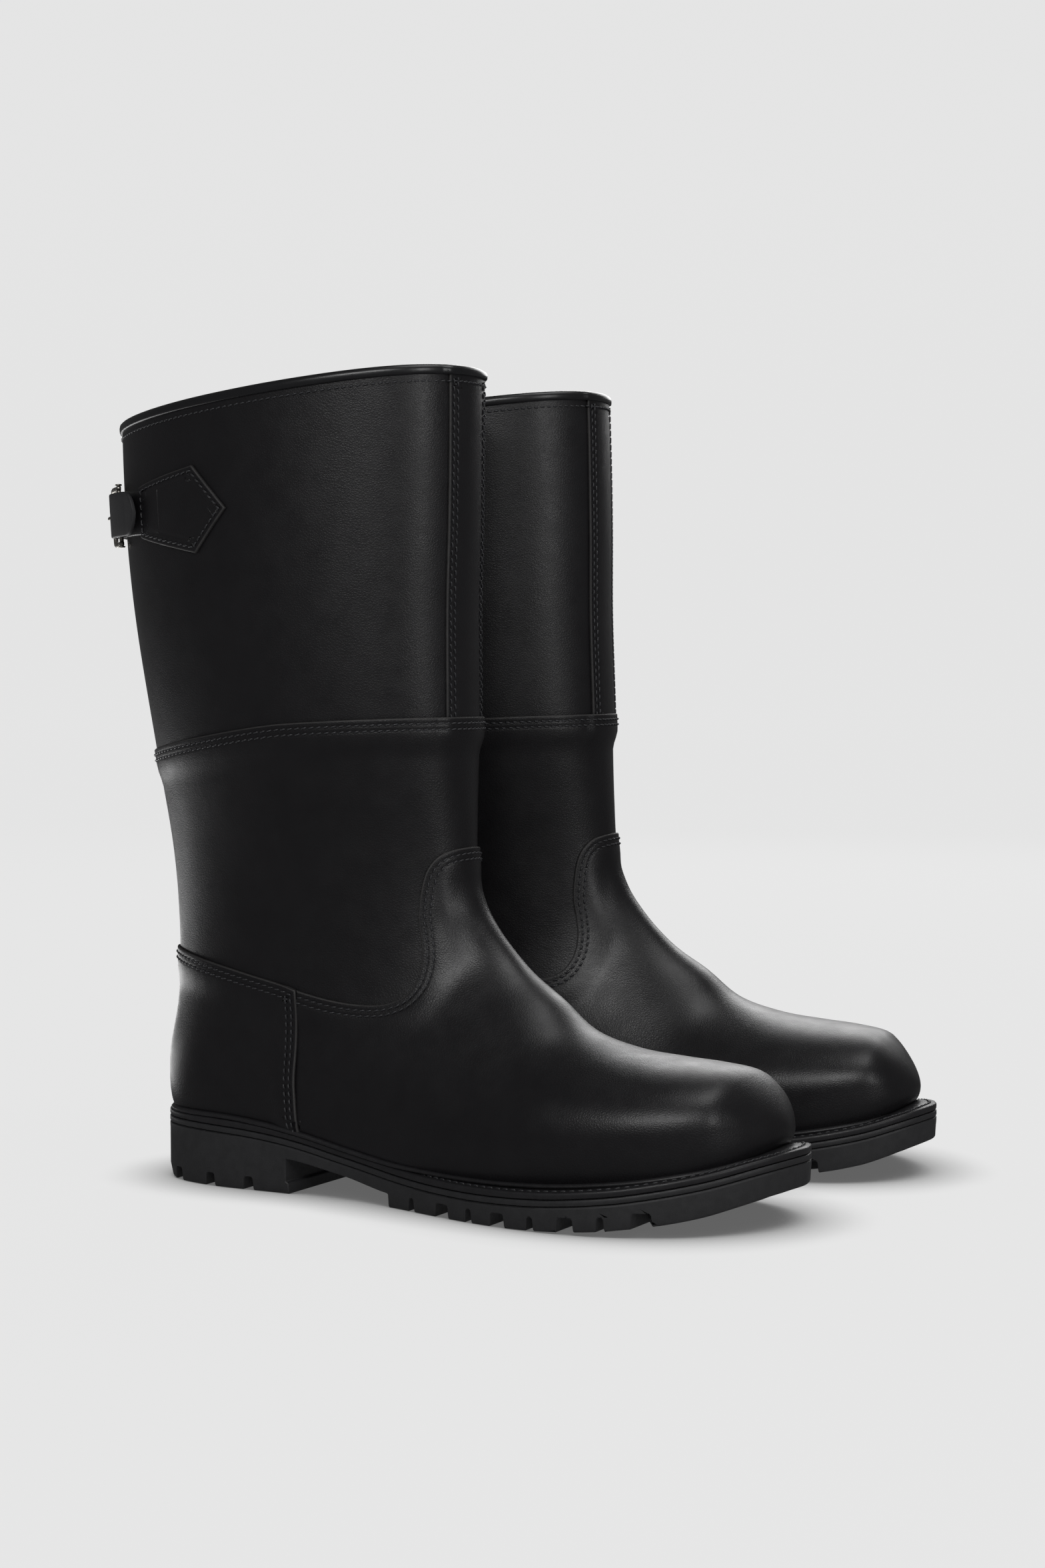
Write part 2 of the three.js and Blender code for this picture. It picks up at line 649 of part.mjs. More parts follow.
// Where the buckle sits: origin on its bar, X towards the free bar, Y outwards, Z up the boot.
function buckleFrame() {
  const t = radians(BUCKLE_ANGLE);
  const pivot = onShaft(t, STRAP_HEIGHT, BAR_OFFSET);
  const free = onShaft(radians(BUCKLE_END_ANGLE), STRAP_HEIGHT, FREE_BAR_OFFSET);
  const up = onShaft(t, STRAP_HEIGHT + 10, BAR_OFFSET).sub(onShaft(t, STRAP_HEIGHT - 10, BAR_OFFSET));
  const x = free.clone().sub(pivot);
  const reach = x.length();
  x.normalize();
  const y = new THREE.Vector3().crossVectors(up, x).normalize();
  const z = new THREE.Vector3().crossVectors(x, y);
  const place = new THREE.Matrix4().makeBasis(x, y, z).setPosition(pivot);
  return { place, reach };
}

function roundedRectangle(path, x0, z0, x1, z1, radius) {
  path.moveTo(x0, z0);
  path.lineTo(x1 - radius, z0);
  path.absarc(x1 - radius, z0 + radius, radius, -Math.PI / 2, 0);
  path.lineTo(x1, z1 - radius);
  path.absarc(x1 - radius, z1 - radius, radius, 0, Math.PI / 2);
  path.lineTo(x0, z1);
  path.closePath();
  return path;
}

// The frame: two rails and the free bar in one flat bent piece, and the round bar that it turns on.
function frameRing(reach) {
  const half = FRAME_HALF_HEIGHT;
  const rail = FRAME_RAIL;
  const outline = roundedRectangle(new THREE.Shape(), -1.4, -half, reach + rail / 2, half, 6);
  const hole = roundedRectangle(new THREE.Path(), -2, -half + rail, reach - rail / 2, half - rail, 4);
  const plate = (path) => new THREE.ExtrudeGeometry(path, {
    depth: FRAME_THICKNESS,
    bevelEnabled: false,
    curveSegments: 6,
  }).translate(0, 0, -FRAME_THICKNESS / 2).rotateX(Math.PI / 2);
  const opening = plate(new THREE.Shape(hole.getPoints(6))).scale(1, 3, 1);
  const bar = new THREE.CylinderGeometry(BAR_RADIUS, BAR_RADIUS, 2 * half - rail, 14);
  return solid(plate(outline)).subtract(solid(opening)).add(solid(bar.rotateX(Math.PI / 2)));
}

// The prong: an eye round the bar, and a pin that goes up through the billet and rests on the free bar.
function prong(reach) {
  const eye = barTurned([[BAR_RADIUS + 0.25, -1.4], [2.2, -1.4], [2.2, 1.4], [BAR_RADIUS + 0.25, 1.4]], 12);
  const rest = FRAME_THICKNESS / 2 + 0.25 + PRONG_RADIUS;
  const route = new THREE.CatmullRomCurve3([
    new THREE.Vector3(1.5, 1.0, 0),
    new THREE.Vector3(5, 2.3, 0),
    new THREE.Vector3(11, 2.9, 0),
    new THREE.Vector3(reach - 1, rest, 0),
    new THREE.Vector3(reach + 2.2, rest, 0),
  ]);
  const section = new THREE.Shape().absarc(0, 0, PRONG_RADIUS, 0, 2 * Math.PI);
  const pin = new THREE.ExtrudeGeometry(section, { extrudePath: route, steps: 8, curveSegments: 3 });
  const channel = new THREE.CylinderGeometry(BAR_RADIUS + 0.25, BAR_RADIUS + 0.25, 8, 12);
  return eye.add(solid(pin)).subtract(solid(channel.rotateX(Math.PI / 2)));
}

// ---- the pair ----
function meshes(side, pieces) {
  return pieces.map(([name, made, look]) => {
    const mesh = new THREE.Mesh(geometryOf(made), look);
    mesh.name = side + "_" + name;
    return mesh;
  });
}

function boot(side) {
  lean = LEAN[side];
  const { place, reach } = buckleFrame();
  const buckle = new THREE.Group();
  buckle.applyMatrix4(place);
  buckle.add(...meshes(side, [
    ["buckle_frame", frameRing(reach), metal()],
    ["buckle_prong", prong(reach), metal()],
  ]));
  const fixed = meshes(side, [
    ...upperPieces(),
    ...solePieces(),
    ["strap_patch", chape(place), leather()],
    ["billet_patch", ribbon(patchRows(-1, GAP)), leather()],
    ["billet_strap", billet(place), leather()],
  ]);
  return new THREE.Group().add(...fixed, buckle);
}

const right = boot("right");
right.position.set(-HEEL_SPREAD / 2, 0, 0);
right.rotation.z = radians(-90 - TOE_OUT);

const left = boot("left");
left.position.set(HEEL_SPREAD / 2, -LEFT_BOOT_AHEAD, 0);
left.rotation.z = radians(-90 + TOE_OUT);
left.scale.y = -1;

const pair = new THREE.Group();
pair.add(right, left);
const middle = new THREE.Box3().setFromObject(pair, true).getCenter(new THREE.Vector3());
right.position.sub(new THREE.Vector3(middle.x, middle.y, 0));
left.position.sub(new THREE.Vector3(middle.x, middle.y, 0));

export default pair;
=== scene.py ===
"""Looks of a pair of tall black leather fire boots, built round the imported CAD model.

Lengths are in millimetres in each boot's own frame (toe along +X, outer side towards -Y, heel's back
edge at the origin) until place() turns them into metres in the row frame.
"""

import math

import bmesh
import bpy
import numpy as np
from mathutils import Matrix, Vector, noise
from mathutils.geometry import delaunay_2d_cdt
from mathutils.kdtree import KDTree


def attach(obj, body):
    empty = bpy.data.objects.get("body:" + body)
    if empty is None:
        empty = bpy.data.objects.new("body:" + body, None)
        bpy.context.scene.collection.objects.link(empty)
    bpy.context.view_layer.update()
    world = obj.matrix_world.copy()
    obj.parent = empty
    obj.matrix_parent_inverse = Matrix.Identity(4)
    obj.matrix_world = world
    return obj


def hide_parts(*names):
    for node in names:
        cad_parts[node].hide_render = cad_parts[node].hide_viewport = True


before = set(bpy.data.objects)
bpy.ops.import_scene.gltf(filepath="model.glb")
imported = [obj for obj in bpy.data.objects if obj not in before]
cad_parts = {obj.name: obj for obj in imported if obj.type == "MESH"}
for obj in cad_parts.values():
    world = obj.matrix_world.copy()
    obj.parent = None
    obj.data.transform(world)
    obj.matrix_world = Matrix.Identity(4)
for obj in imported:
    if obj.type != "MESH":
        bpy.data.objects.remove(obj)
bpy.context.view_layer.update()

TOE_OUT = 4.0  # degrees that each boot turns outwards
# middle of each heel's back edge, and how far each shaft leans forward at its top
ORIGIN = {"right": (-53.5, 145.342), "left": (53.5, 129.342)}
LEAN = {"right": 2.8, "left": -4.2}
LEAN_START, LEAN_TOP = 120.0, 364.0

# Sections of the upper: front (or top) x and z, back (or bottom) x and z, half width, widest place,
# roundness of the back, sideways shift.
STATIONS = np.array([
    [147.5, 376, -32.5, 353, 56, 0.5, 2.1, 0],
    [148, 340, -31, 322, 55.5, 0.5, 2.1, 0],
    [148, 298, -28, 285, 54.5, 0.5, 2.1, 0],
    [147.5, 256, -22, 245, 53, 0.5, 2.1, 0],
    [148.5, 206, -12, 195, 49, 0.5, 2.1, 0],
    [149.5, 170, -3, 150, 42, 0.52, 2.2, 0],
    [151, 145, 1, 113, 38, 0.56, 2.3, 0],
    [156, 129, 2, 81, 36.5, 0.63, 2.5, 0],
    [163, 118, 0, 51, 36.5, 0.7, 3, 0],
    [171.5, 108, 10, 27, 36.5, 0.71, 4, 0],
    [181.5, 98.5, 49, 24, 37.5, 0.68, 5, -1],
    [195, 89, 92, 20, 39.5, 0.64, 5, -2.5],
    [210, 76.5, 140, 13, 44, 0.57, 5, -4],
    [229.5, 70, 190, 11, 49.5, 0.54, 5, -4.5],
    [249.5, 67.5, 232, 13, 49, 0.53, 5, -3],
    [267.5, 66, 264, 18, 44, 0.52, 5, -1],
    [282, 63.5, 283.5, 24, 36, 0.51, 4, 1.5],
    [290, 57, 295, 30, 26, 0.5, 3, 4],
    [295, 48.5, 297.5, 36, 14, 0.5, 2.4, 5],
    [300, 41.5, 300, 41.5, 0, 0.5, 2, 5.5],
])
FRONT_ROUNDNESS = 2.1
TIP = 18.98  # section where the toe closes
TOE_START = 16.0
TOE_ANGLE = math.radians(41.8)

# Outline of the sole from above: x, outer side, inner side
SOLE_EDGE = np.array([
    [-3, -1, 1], [0, -15, 15], [8, -27, 27], [20, -34, 34], [42, -38.5, 37.5], [75, -38.5, 34],
    [110, -39.5, 30.5], [135, -44, 31.5], [162, -52, 38], [190, -58.5, 46.5], [218, -60.5, 51],
    [245, -57, 51], [268, -47.5, 47], [283, -37, 41], [294, -25, 33.5], [303, -11, 23], [308, 4, 9],
])
WELT_TOP = [[-10, 31], [20, 31], [52, 30], [80, 27], [110, 21.5], [140, 17.2], [175, 15.6],
            [215, 16.5], [250, 20], [280, 25.5], [310, 33]]
TREAD_BOTTOM = [[134, 0], [200, 0], [225, 0.8], [250, 3], [280, 8], [310, 17]]
WAIST_BOTTOM = [[78, 15.5], [110, 10.5], [134, 6]]
# x, width and inner end of each groove of the tread
GROOVES = [[16, 4.5, 20], [37, 4.5, 26], [58, 4.5, 26], [148, 2.5, 30], [166, 6.5, 30],
           [181, 2.5, 36], [196, 6.5, 36], [212, 2.5, 38], [228, 6.5, 38], [243, 2.5, 38],
           [259, 7, 34]]
BREAST = 78.0  # front face of the heel
LUG = 6.0  # depth of the tread's grooves

# Seams, drawn in the side view as x, z
TOPLINE = [[-60, 339.5], [-26, 344], [30, 350.5], [90, 357.5], [146, 364], [180, 368]]
BAND = [[-60, 190], [-14, 194], [30, 201], [80, 208], [149, 211], [180, 211]]
ANKLE = [[-30, 104], [0, 105], [12, 104.5], [41, 99.5], [60, 95.5], [76, 92], [84, 89.5], [98, 86.5],
         [112, 85], [124, 85.5], [133, 89], [138, 96], [139.5, 105], [138.5, 114], [137, 124], [138, 138],
         [141, 147], [147, 152.5], [160, 155], [180, 155.5]]
COUNTER = [[82, 90.2], [82.5, 80], [82.5, 66], [82.5, 52], [84, 40], [87, 20]]

LEATHER = 1.3
RAISE = 1.25  # how far an upper layer stands over the one below it
SLIT_BOTTOM = 275.0
SLIT_HALF_ANGLE = 0.07
SLIT_EDGE = 2.2  # from the slit's opening to the leather's edge
UPPER_RISE = 0.3  # the upper's foot over the welt
STITCH = 3.4
STRAP_HEIGHT = 303.0
STRAP_HALF = 10.0
BUCKLE_ANGLE = 149.0  # round the shaft from the front, in the CAD's degrees
BUCKLE_END_ANGLE = 164.5
BAR_OFFSET = 3.0  # centres of the two bars off the shaft
FREE_BAR_OFFSET = 4.3
BAR_RADIUS = 1.0
FRAME_BOW = 2.2  # how far the frame bends away from the leg


# ---- curves ----
def smooth(values, p):
    """Catmull-Rom value of rows of numbers at places p."""
    values = np.asarray(values, float)
    p = np.asarray(p, float)
    last = len(values) - 1
    i = np.clip(np.floor(p).astype(int), 0, last - 1)
    f = p - i
    if values.ndim == 2:
        f = f[..., None]
    a, b = values[np.maximum(i - 1, 0)], values[i]
    c, d = values[i + 1], values[np.minimum(i + 2, last)]
    rise_b, rise_c = (c - a) / 2, (d - b) / 2
    f2, f3 = f * f, f * f * f
    return ((2 * f3 - 3 * f2 + 1) * b + (f3 - 2 * f2 + f) * rise_b
            + (3 * f2 - 2 * f3) * c + (f3 - f2) * rise_c)


def height_at(points, x):
    points = np.asarray(points, float)
    x = np.clip(np.asarray(x, float), points[0, 0], points[-1, 0])
    place = np.interp(x, points[:, 0], np.arange(len(points)))
    return smooth(points[:, 1], place)


def ease(x):
    x = np.clip(x, 0, 1)
    return x * x * (3 - 2 * x)


def curve(points, step=0.5):
    """A smooth line through side-view points, in even steps."""
    points = np.asarray(points, float)
    dense = smooth(points, np.linspace(0, len(points) - 1, 60 * len(points)))
    return resample(dense, step)


def resample(points, step, closed=False):
    if closed:
        points = np.vstack([points, points[:1]])
    lengths = np.linalg.norm(np.diff(points, axis=0), axis=1)
    along = np.concatenate([[0], np.cumsum(lengths)])
    count = max(2, int(round(along[-1] / step)) + 1)
    places = np.linspace(0, along[-1], count)
    if closed:
        places = places[:-1]
    return np.stack([np.interp(places, along, points[:, k]) for k in range(points.shape[1])], 1)


# ---- the upper's surface ----
def section_at(s):
    """A section's numbers, with the toe closed by an ellipse so that its tip is round."""
    row = smooth(STATIONS, s)
    f = np.clip((np.asarray(s, float) - TOE_START) / (19 - TOE_START), 0, 1)
    u = TOE_ANGLE + (math.pi / 2 - TOE_ANGLE) * f
    closing = np.cos(u) / math.cos(TOE_ANGLE)
    forward = (np.sin(u) - math.sin(TOE_ANGLE)) / (1 - math.sin(TOE_ANGLE))
    swell = np.sin(math.pi * f)
    toe = row.copy()
    toe[..., 0] = 282 + 18 * forward - 3.0 * swell
    toe[..., 1] = 41.5 + 22 * closing
    toe[..., 2] = 283.5 + 16.5 * forward + 2.0 * swell * (1 - f)
    toe[..., 3] = 41.5 - 17.5 * closing
    toe[..., 4] = 36 * closing
    return np.where((f > 0)[..., None], toe, row)


def section_point(s, a):
    """Point on section s at angle a round it (0 front, outer side positive), before the lean."""
    front_x, front_z, back_x, back_z, width, widest, roundness, shift = np.moveaxis(section_at(s), -1, 0)
    c, k = np.cos(a), np.sin(a)
    n = np.where(c >= 0, FRONT_ROUNDNESS, roundness)
    size = (np.abs(c) ** n + np.abs(k) ** n) ** (-1 / n)
    reach, out = np.abs(c) * size, k * size
    along = np.where(c >= 0, widest * (1 - reach), widest + (1 - widest) * reach)
    return np.stack([front_x + (back_x - front_x) * along, shift - out * width,
                     front_z + (back_z - front_z) * along], -1)


class Boot:
    def __init__(self, side):
        self.side = side
        self.lean = LEAN[side] / (LEAN_TOP - LEAN_START)
        self.mirror = 1 if side == "right" else -1
        turn = math.radians(-90 - TOE_OUT * self.mirror)
        self.cos, self.sin = math.cos(turn), math.sin(turn)

    def point(self, s, a):
        p = section_point(s, a)
        h = p[..., 2] - LEAN_START
        p[..., 0] += self.lean * (h + np.sqrt(h * h + 300)) / 2
        return p

    def slopes(self, s, a):
        h = 0.01
        return ((self.point(s + h, a) - self.point(s - h, a)) / (2 * h),
                (self.point(s, a + h) - self.point(s, a - h)) / (2 * h))

    def normal(self, s, a):
        s = np.minimum(s, TIP)
        down, around = self.slopes(s, a)
        n = np.cross(around, down)
        return n / np.maximum(np.linalg.norm(n, axis=-1, keepdims=True), 1e-9)

    def at(self, s, a, lift=0.0):
        return self.point(s, a) + self.normal(s, a) * np.asarray(lift)[..., None]

    def section_at(self, a, z):
        """The section on the shaft whose point at angle a has height z."""
        low, high = np.zeros(np.shape(a)), np.full(np.shape(a), 7.5)
        for _ in range(32):
            middle = (low + high) / 2
            higher = section_point(middle, a)[..., 2] > z
            low, high = np.where(higher, middle, low), np.where(higher, high, middle)
        return low

    def shaft(self, a, z, lift=0.0):
        return self.at(self.section_at(a, z), a, lift)

    def place(self, points):
        """Millimetres in the boot's frame to metres in the row frame."""
        p = np.asarray(points, float)
        x, y = p[..., 0], p[..., 1] * self.mirror
        ox, oy = ORIGIN[self.side]
        turned = np.stack([x * self.cos - y * self.sin + ox, x * self.sin + y * self.cos + oy, p[..., 2]], -1)
        return turned / 1000


def angle_of(reach, out, n):
    """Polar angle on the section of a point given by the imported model's own angle t."""
    return math.atan2(abs(out) ** (2 / n), math.copysign(abs(reach) ** (2 / n), reach))


def shaft_angle(degrees):
    """The CAD's angle round the shaft, as an angle of section_point."""
    t = math.radians(degrees)
    a = angle_of(math.cos(t), math.sin(t), FRONT_ROUNDNESS)
    return a if math.sin(t) >= 0 else 2 * math.pi - a


def on_side(points, sign=1):
    """Side-view points as (section, angle), on the outer side for sign 1."""
    p = np.asarray(points, float)
    low, high = np.zeros(len(p)), np.full(len(p), 18.9)
    for _ in range(40):
        middle = (low + high) / 2
        row = section_at(middle)
        dx, dz = row[:, 2] - row[:, 0], row[:, 3] - row[:, 1]
        above = dx * (p[:, 1] - row[:, 1]) - dz * (p[:, 0] - row[:, 0]) > 0
        low, high = np.where(above, middle, low), np.where(above, high, middle)
    row = section_at(low)
    dx, dz = row[:, 2] - row[:, 0], row[:, 3] - row[:, 1]
    along = ((p[:, 0] - row[:, 0]) * dx + (p[:, 1] - row[:, 1]) * dz) / (dx * dx + dz * dz)
    return np.stack([low, sign * angle_along(along, row[:, 5], row[:, 6])], 1)


def angle_along(along, widest, roundness):
    front = along <= widest
    reach = np.where(front, 1 - along / widest, (along - widest) / (1 - widest))
    reach = np.clip(reach, 0, 1)
    n = np.where(front, FRONT_ROUNDNESS, roundness)
    out = (1 - reach ** n) ** (1 / n)
    return np.arctan2(out, np.where(front, reach, -reach))


def inside_only(chain):
    """A seam's points up to where it meets the front or back middle line, at either end."""
    clear = (np.abs(np.sin(chain[:, 1])) > 1e-6)
    first, last = np.flatnonzero(clear)[[0, -1]]
    return chain[max(first - 1, 0):last + 2]


def welt_line(start, stop, rise, steps=260):
    """Where the upper meets the welt on the outer side, for sections start to stop."""
    return welt_places(stop + (start - stop) * (np.linspace(1, 0, steps) ** 2), rise)


def welt_places(s, rise):
    """Points on the sections s that are level with the welt's top and rise over it."""
    row = section_at(s)
    low, high = np.zeros(len(s)), np.ones(len(s))
    for _ in range(30):
        middle = (low + high) / 2
        x = row[:, 0] + (row[:, 2] - row[:, 0]) * middle
        z = row[:, 1] + (row[:, 3] - row[:, 1]) * middle
        above = z > height_at(WELT_TOP, x) + rise
        low, high = np.where(above, middle, low), np.where(above, high, middle)
    return np.stack([s, angle_along(low, row[:, 5], row[:, 6])], 1)


def welt_crossing(low, high, rise):
    """The section between low and high whose lowest point is level with the welt."""
    def above(s):
        row = section_at(s)
        return row[3] > height_at(WELT_TOP, row[2]) + rise
    start = above(low)
    for _ in range(40):
        middle = (low + high) / 2
        if above(middle) == start:
            low = middle
        else:
            high = middle
    return low


def mirrored(chain, whole=0.0):
    out = chain.copy()
    out[:, 1] = whole - out[:, 1]
    return out


# ---- even coordinates on the surface ----
SPACING = 3.0
AROUND = 128
_places = np.linspace(0, 19, 1901)
_lines = [section_point(_places, np.full(1901, a)) for a in (0.0, math.pi / 2)]
_steps = sum(np.linalg.norm(np.diff(line, axis=0), axis=1) for line in _lines) / 2
_rows = np.concatenate([[0], np.cumsum(_steps)]) / SPACING


def to_flat(chain):
    return np.stack([np.interp(chain[:, 0], _places, _rows), chain[:, 1] * AROUND / (2 * math.pi)], 1)


def from_flat(flat):
    return np.stack([np.interp(flat[:, 0], _rows, _places), flat[:, 1] * (2 * math.pi) / AROUND], 1)


def inside(points, polygon):
    """Which points lie inside a closed polygon, and how far they are from its edge."""
    a, b = polygon, np.roll(polygon, -1, axis=0)
    within = np.zeros(len(points), bool)
    nearest = np.full(len(points), 1e9)
    for (ax, ay), (bx, by) in zip(a, b):
        x, y = points[:, 0], points[:, 1]
        if ay != by:
            cross = ((ay > y) != (by > y)) & (x < (bx - ax) * (y - ay) / (by - ay) + ax)
            within ^= cross
        dx, dy = bx - ax, by - ay
        length = dx * dx + dy * dy
        f = np.clip(((x - ax) * dx + (y - ay) * dy) / max(length, 1e-12), 0, 1)
        nearest = np.minimum(nearest, (x - ax - f * dx) ** 2 + (y - ay - f * dy) ** 2)
    return within, np.sqrt(nearest)


# Rows that run along a cut edge: distance from the edge, and how far below the face
RIM = [(0.0, None), (0.0, 0.5), (0.1, 0.26), (0.3, 0.09), (0.62, 0.0)]
BODY = [(1.3, 0.0), (2.0, 0.02), (2.6, 0.16), (3.2, 0.02), (3.9, 0.0), (4.6, 0.02), (5.2, 0.16),
        (5.8, 0.02), (6.8, 0.0)]


class Panel:
    """A sheet of leather on the boot's surface, between its cut edges.

    chains go round its outline: (points as section and angle, kind), where kind is "sewn", "cut" or
    "weld", an imaginary edge that closes onto itself.
    """

    def __init__(self, boot, chains, lift, thickness=LEATHER, body=BODY, step=2.0, dip=1.0):
        self.boot, self.lift, self.thickness = boot, lift, thickness
        rows = RIM + list(body)
        deepest = rows[-1][0]
        flat, kinds = [], []
        for index, (points, kind) in enumerate(chains):
            line = to_flat(points)
            true = boot.point(*from_flat(line).T)
            lengths = np.concatenate([[0], np.cumsum(np.linalg.norm(np.diff(true, axis=0), axis=1))])
            flat_lengths = np.concatenate([[0], np.cumsum(np.linalg.norm(np.diff(line, axis=0), axis=1))])
            if kind == "weld":
                before, after = chains[index - 1][1], chains[(index + 1) % len(chains)][1]
                measure = flat_lengths if lengths[-1] < 1 else lengths
                pace = 1.0 if lengths[-1] < 1 else SPACING
                start = deepest + 1.2 if before != "weld" else 0.0
                stop = measure[-1] - (deepest + 1.2 if after != "weld" else 0.0)
                count = max(int(round((stop - start) / pace)), 1)
                places = np.linspace(start, stop, count + 1)
                if after == "weld":
                    places = places[:-1]
                if before != "weld":
                    # the corner itself slides inwards along the imaginary edge
                    flat.append(line[0])
                    kinds.append("slide_out")
                flat += [[np.interp(p, measure, line[:, k]) for k in (0, 1)] for p in places]
                kinds += ["weld"] * len(places)
                if after != "weld":
                    flat.append(line[-1])
                    kinds.append("slide_in")
            else:
                count = max(int(round(lengths[-1] / step)), 2)
                places = np.linspace(0, lengths[-1], count + 1)
                before = chains[index - 1][1]
                after = chains[(index + 1) % len(chains)][1]
                # corners next to a weld are made by the weld
                places = places[(1 if before == "weld" else 0):-1]
                flat += [[np.interp(p, lengths, line[:, k]) for k in (0, 1)] for p in places]
                kinds += [kind] * len(places)
        flat = np.array(flat)
        count = len(flat)
        area = np.sum(flat[:, 0] * np.roll(flat[:, 1], -1) - np.roll(flat[:, 0], -1) * flat[:, 1])
        edge = np.array([kind != "weld" for kind in kinds])
        sewn = np.array([1.0 if kind == "sewn" else 0.0 for kind in kinds])
        for i, kind in enumerate(kinds):
            if kind == "slide_out":
                sewn[i] = sewn[i - 1]
        for i, kind in enumerate(kinds):
            if kind == "slide_in":
                sewn[i] = sewn[(i + 1) % count]
        # inward direction of each outline point, in the surface
        true = boot.point(*from_flat(flat).T)
        normal = boot.normal(*from_flat(flat).T)
        turn = -1 if area > 0 else 1
        ahead = np.roll(true, -1, axis=0) - true
        ahead /= np.maximum(np.linalg.norm(ahead, axis=1, keepdims=True), 1e-9)
        inward = np.cross(normal, ahead) * turn
        back = np.roll(inward, 1, axis=0)
        miter = inward + back
        miter /= np.maximum(np.linalg.norm(miter, axis=1, keepdims=True), 1e-9)
        scale = 1 / np.clip(np.sum(miter * inward, axis=1), 0.5, 1)
        for i, kind in enumerate(kinds):
            if kind == "slide_out":
                miter[i], scale[i] = ahead[i], 1
            if kind == "slide_in":
                miter[i], scale[i] = -ahead[i - 1], 1
        self.flat, self.kinds, self.miter, self.scale = flat, kinds, miter, scale
        # rows
        layers, depth = [], 0.0
        here = flat.copy()
        for distance, drop in rows:
            here = self.slide(here, miter, scale, distance - depth, edge)
            depth = distance
            layers.append(here.copy())
        self.outline = layers[-1]
        # the middle
        low, high = self.outline.min(0), self.outline.max(0)
        axes = [np.arange(math.floor(low[k]), high[k] + 1) for k in (0, 1)]
        grid = np.stack(np.meshgrid(*axes, indexing="ij"), -1).reshape(-1, 2)
        within, away = inside(grid, self.outline)
        grid = grid[within & (away > 0.42)]
        ring = [Vector(p) for p in self.outline]
        edges = [(i, (i + 1) % count) for i in range(count)]
        verts, _, faces, origins, _, _ = delaunay_2d_cdt(
            ring + [Vector(p) for p in grid], edges, [], 0, 1e-7, True)
        verts = np.array([v[:] for v in verts])
        faces = np.array([f for f in faces if len(f) == 3])
        kept, _ = inside(verts[faces].mean(1), self.outline)
        faces = faces[kept]
        # vertices: rows first (all of a row's points, edge or not), then the middle
        points = np.concatenate(layers + [verts])
        drops = np.concatenate([np.full(count, 0.0 if drop is None else drop) * np.where(
            edge, 1.0 if k < len(RIM) else sewn * dip, 0) for k, (_, drop) in enumerate(rows)]
            + [np.zeros(len(verts))])
        base = len(rows) * count
        number = np.arange(len(verts)) + base
        for i, origin in enumerate(origins):
            for j in origin:
                if j < count:
                    number[i] = (len(rows) - 1) * count + j
                    break
        where = from_flat(points)
        surface = boot.point(where[:, 0], where[:, 1])
        normals = boot.normal(where[:, 0], where[:, 1])
        lifts = lift(surface, where)
        top = surface + normals * (lifts - drops)[:, None]
        under = surface + normals * (lifts - thickness)[:, None]
        tip = where[:, 0] > TIP - 1e-3
        for face in (top, under):
            if tip.any():
                face[tip] = face[tip].mean(0)
        top[:count] = under[:count]
        first_under = len(RIM) - 1
        total = len(points)
        self.verts = np.concatenate([top, under])
        quads, rims = [], []
        for i in range(count):
            j = (i + 1) % count
            if not (edge[i] and edge[j]):
                continue
            if kinds[i] == "slide_out" or kinds[j] == "slide_in":
                continue
            for k in range(len(rows) - 1):
                quad = (k * count + i, k * count + j, (k + 1) * count + j, (k + 1) * count + i)
                (rims if k < len(RIM) - 1 else quads).append(quad)
                if k >= first_under:
                    quads.append(tuple(total + v for v in reversed(quad)))
            quads.append((total + first_under * count + i, total + first_under * count + j, j, i))
        middle = number[faces]
        tris = [tuple(f) for f in middle] + [tuple(total + v for v in f[::-1]) for f in middle]
        self.faces, self.rims = quads + tris, rims

    def slide(self, here, miter, scale, distance, edge):
        """Moves outline points inwards over the surface."""
        if distance <= 0:
            return here
        eps = 0.05

        def change(step):
            ahead, behind = (self.boot.point(*from_flat(here + sign * np.array(step)).T) for sign in (1, -1))
            return (ahead - behind) / (2 * eps)
        step_i, step_j = change([eps, 0]), change([0, eps])
        wanted = miter * (scale * distance)[:, None]
        a, b, c = (step_i ** 2).sum(1), (step_i * step_j).sum(1), (step_j ** 2).sum(1)
        u, v = (step_i * wanted).sum(1), (step_j * wanted).sum(1)
        det = np.maximum(a * c - b * b, 1e-9)
        move = np.stack([(c * u - b * v) / det, (a * v - b * u) / det], 1)
        return np.where(edge[:, None], here + move, here)

    def row(self, distance, kind="sewn"):
        """3-D lines at a distance inside the outline, one for each run of that kind, with normals."""
        edge = np.array([k != "weld" for k in self.kinds])
        here = self.flat.copy()
        for _ in range(4):
            here = self.slide(here, self.miter, self.scale, distance / 4, edge)
        wanted = [k == kind for k in self.kinds]
        count = len(wanted)
        if all(wanted):
            runs = [list(range(count)) + [0]]
        else:
            start = next(i for i in range(count) if not wanted[i])
            runs, run = [], []
            for n in range(count + 1):
                i = (start + n) % count
                if wanted[i]:
                    run.append(i)
                elif run:
                    # the run's last point is the next chain's first
                    if self.kinds[i] != "weld":
                        run.append(i)
                    before = (run[0] - 1) % count
                    if self.kinds[before] == "slide_in":
                        run.insert(0, before)
                    runs.append(run)
                    run = []
        lines = []
        for run in runs:
            where = from_flat(here[run])
            surface, normals = self.boot.point(*where.T), self.boot.normal(*where.T)
            lines.append((surface + normals * self.lift(surface, where)[:, None], normals))
        return lines


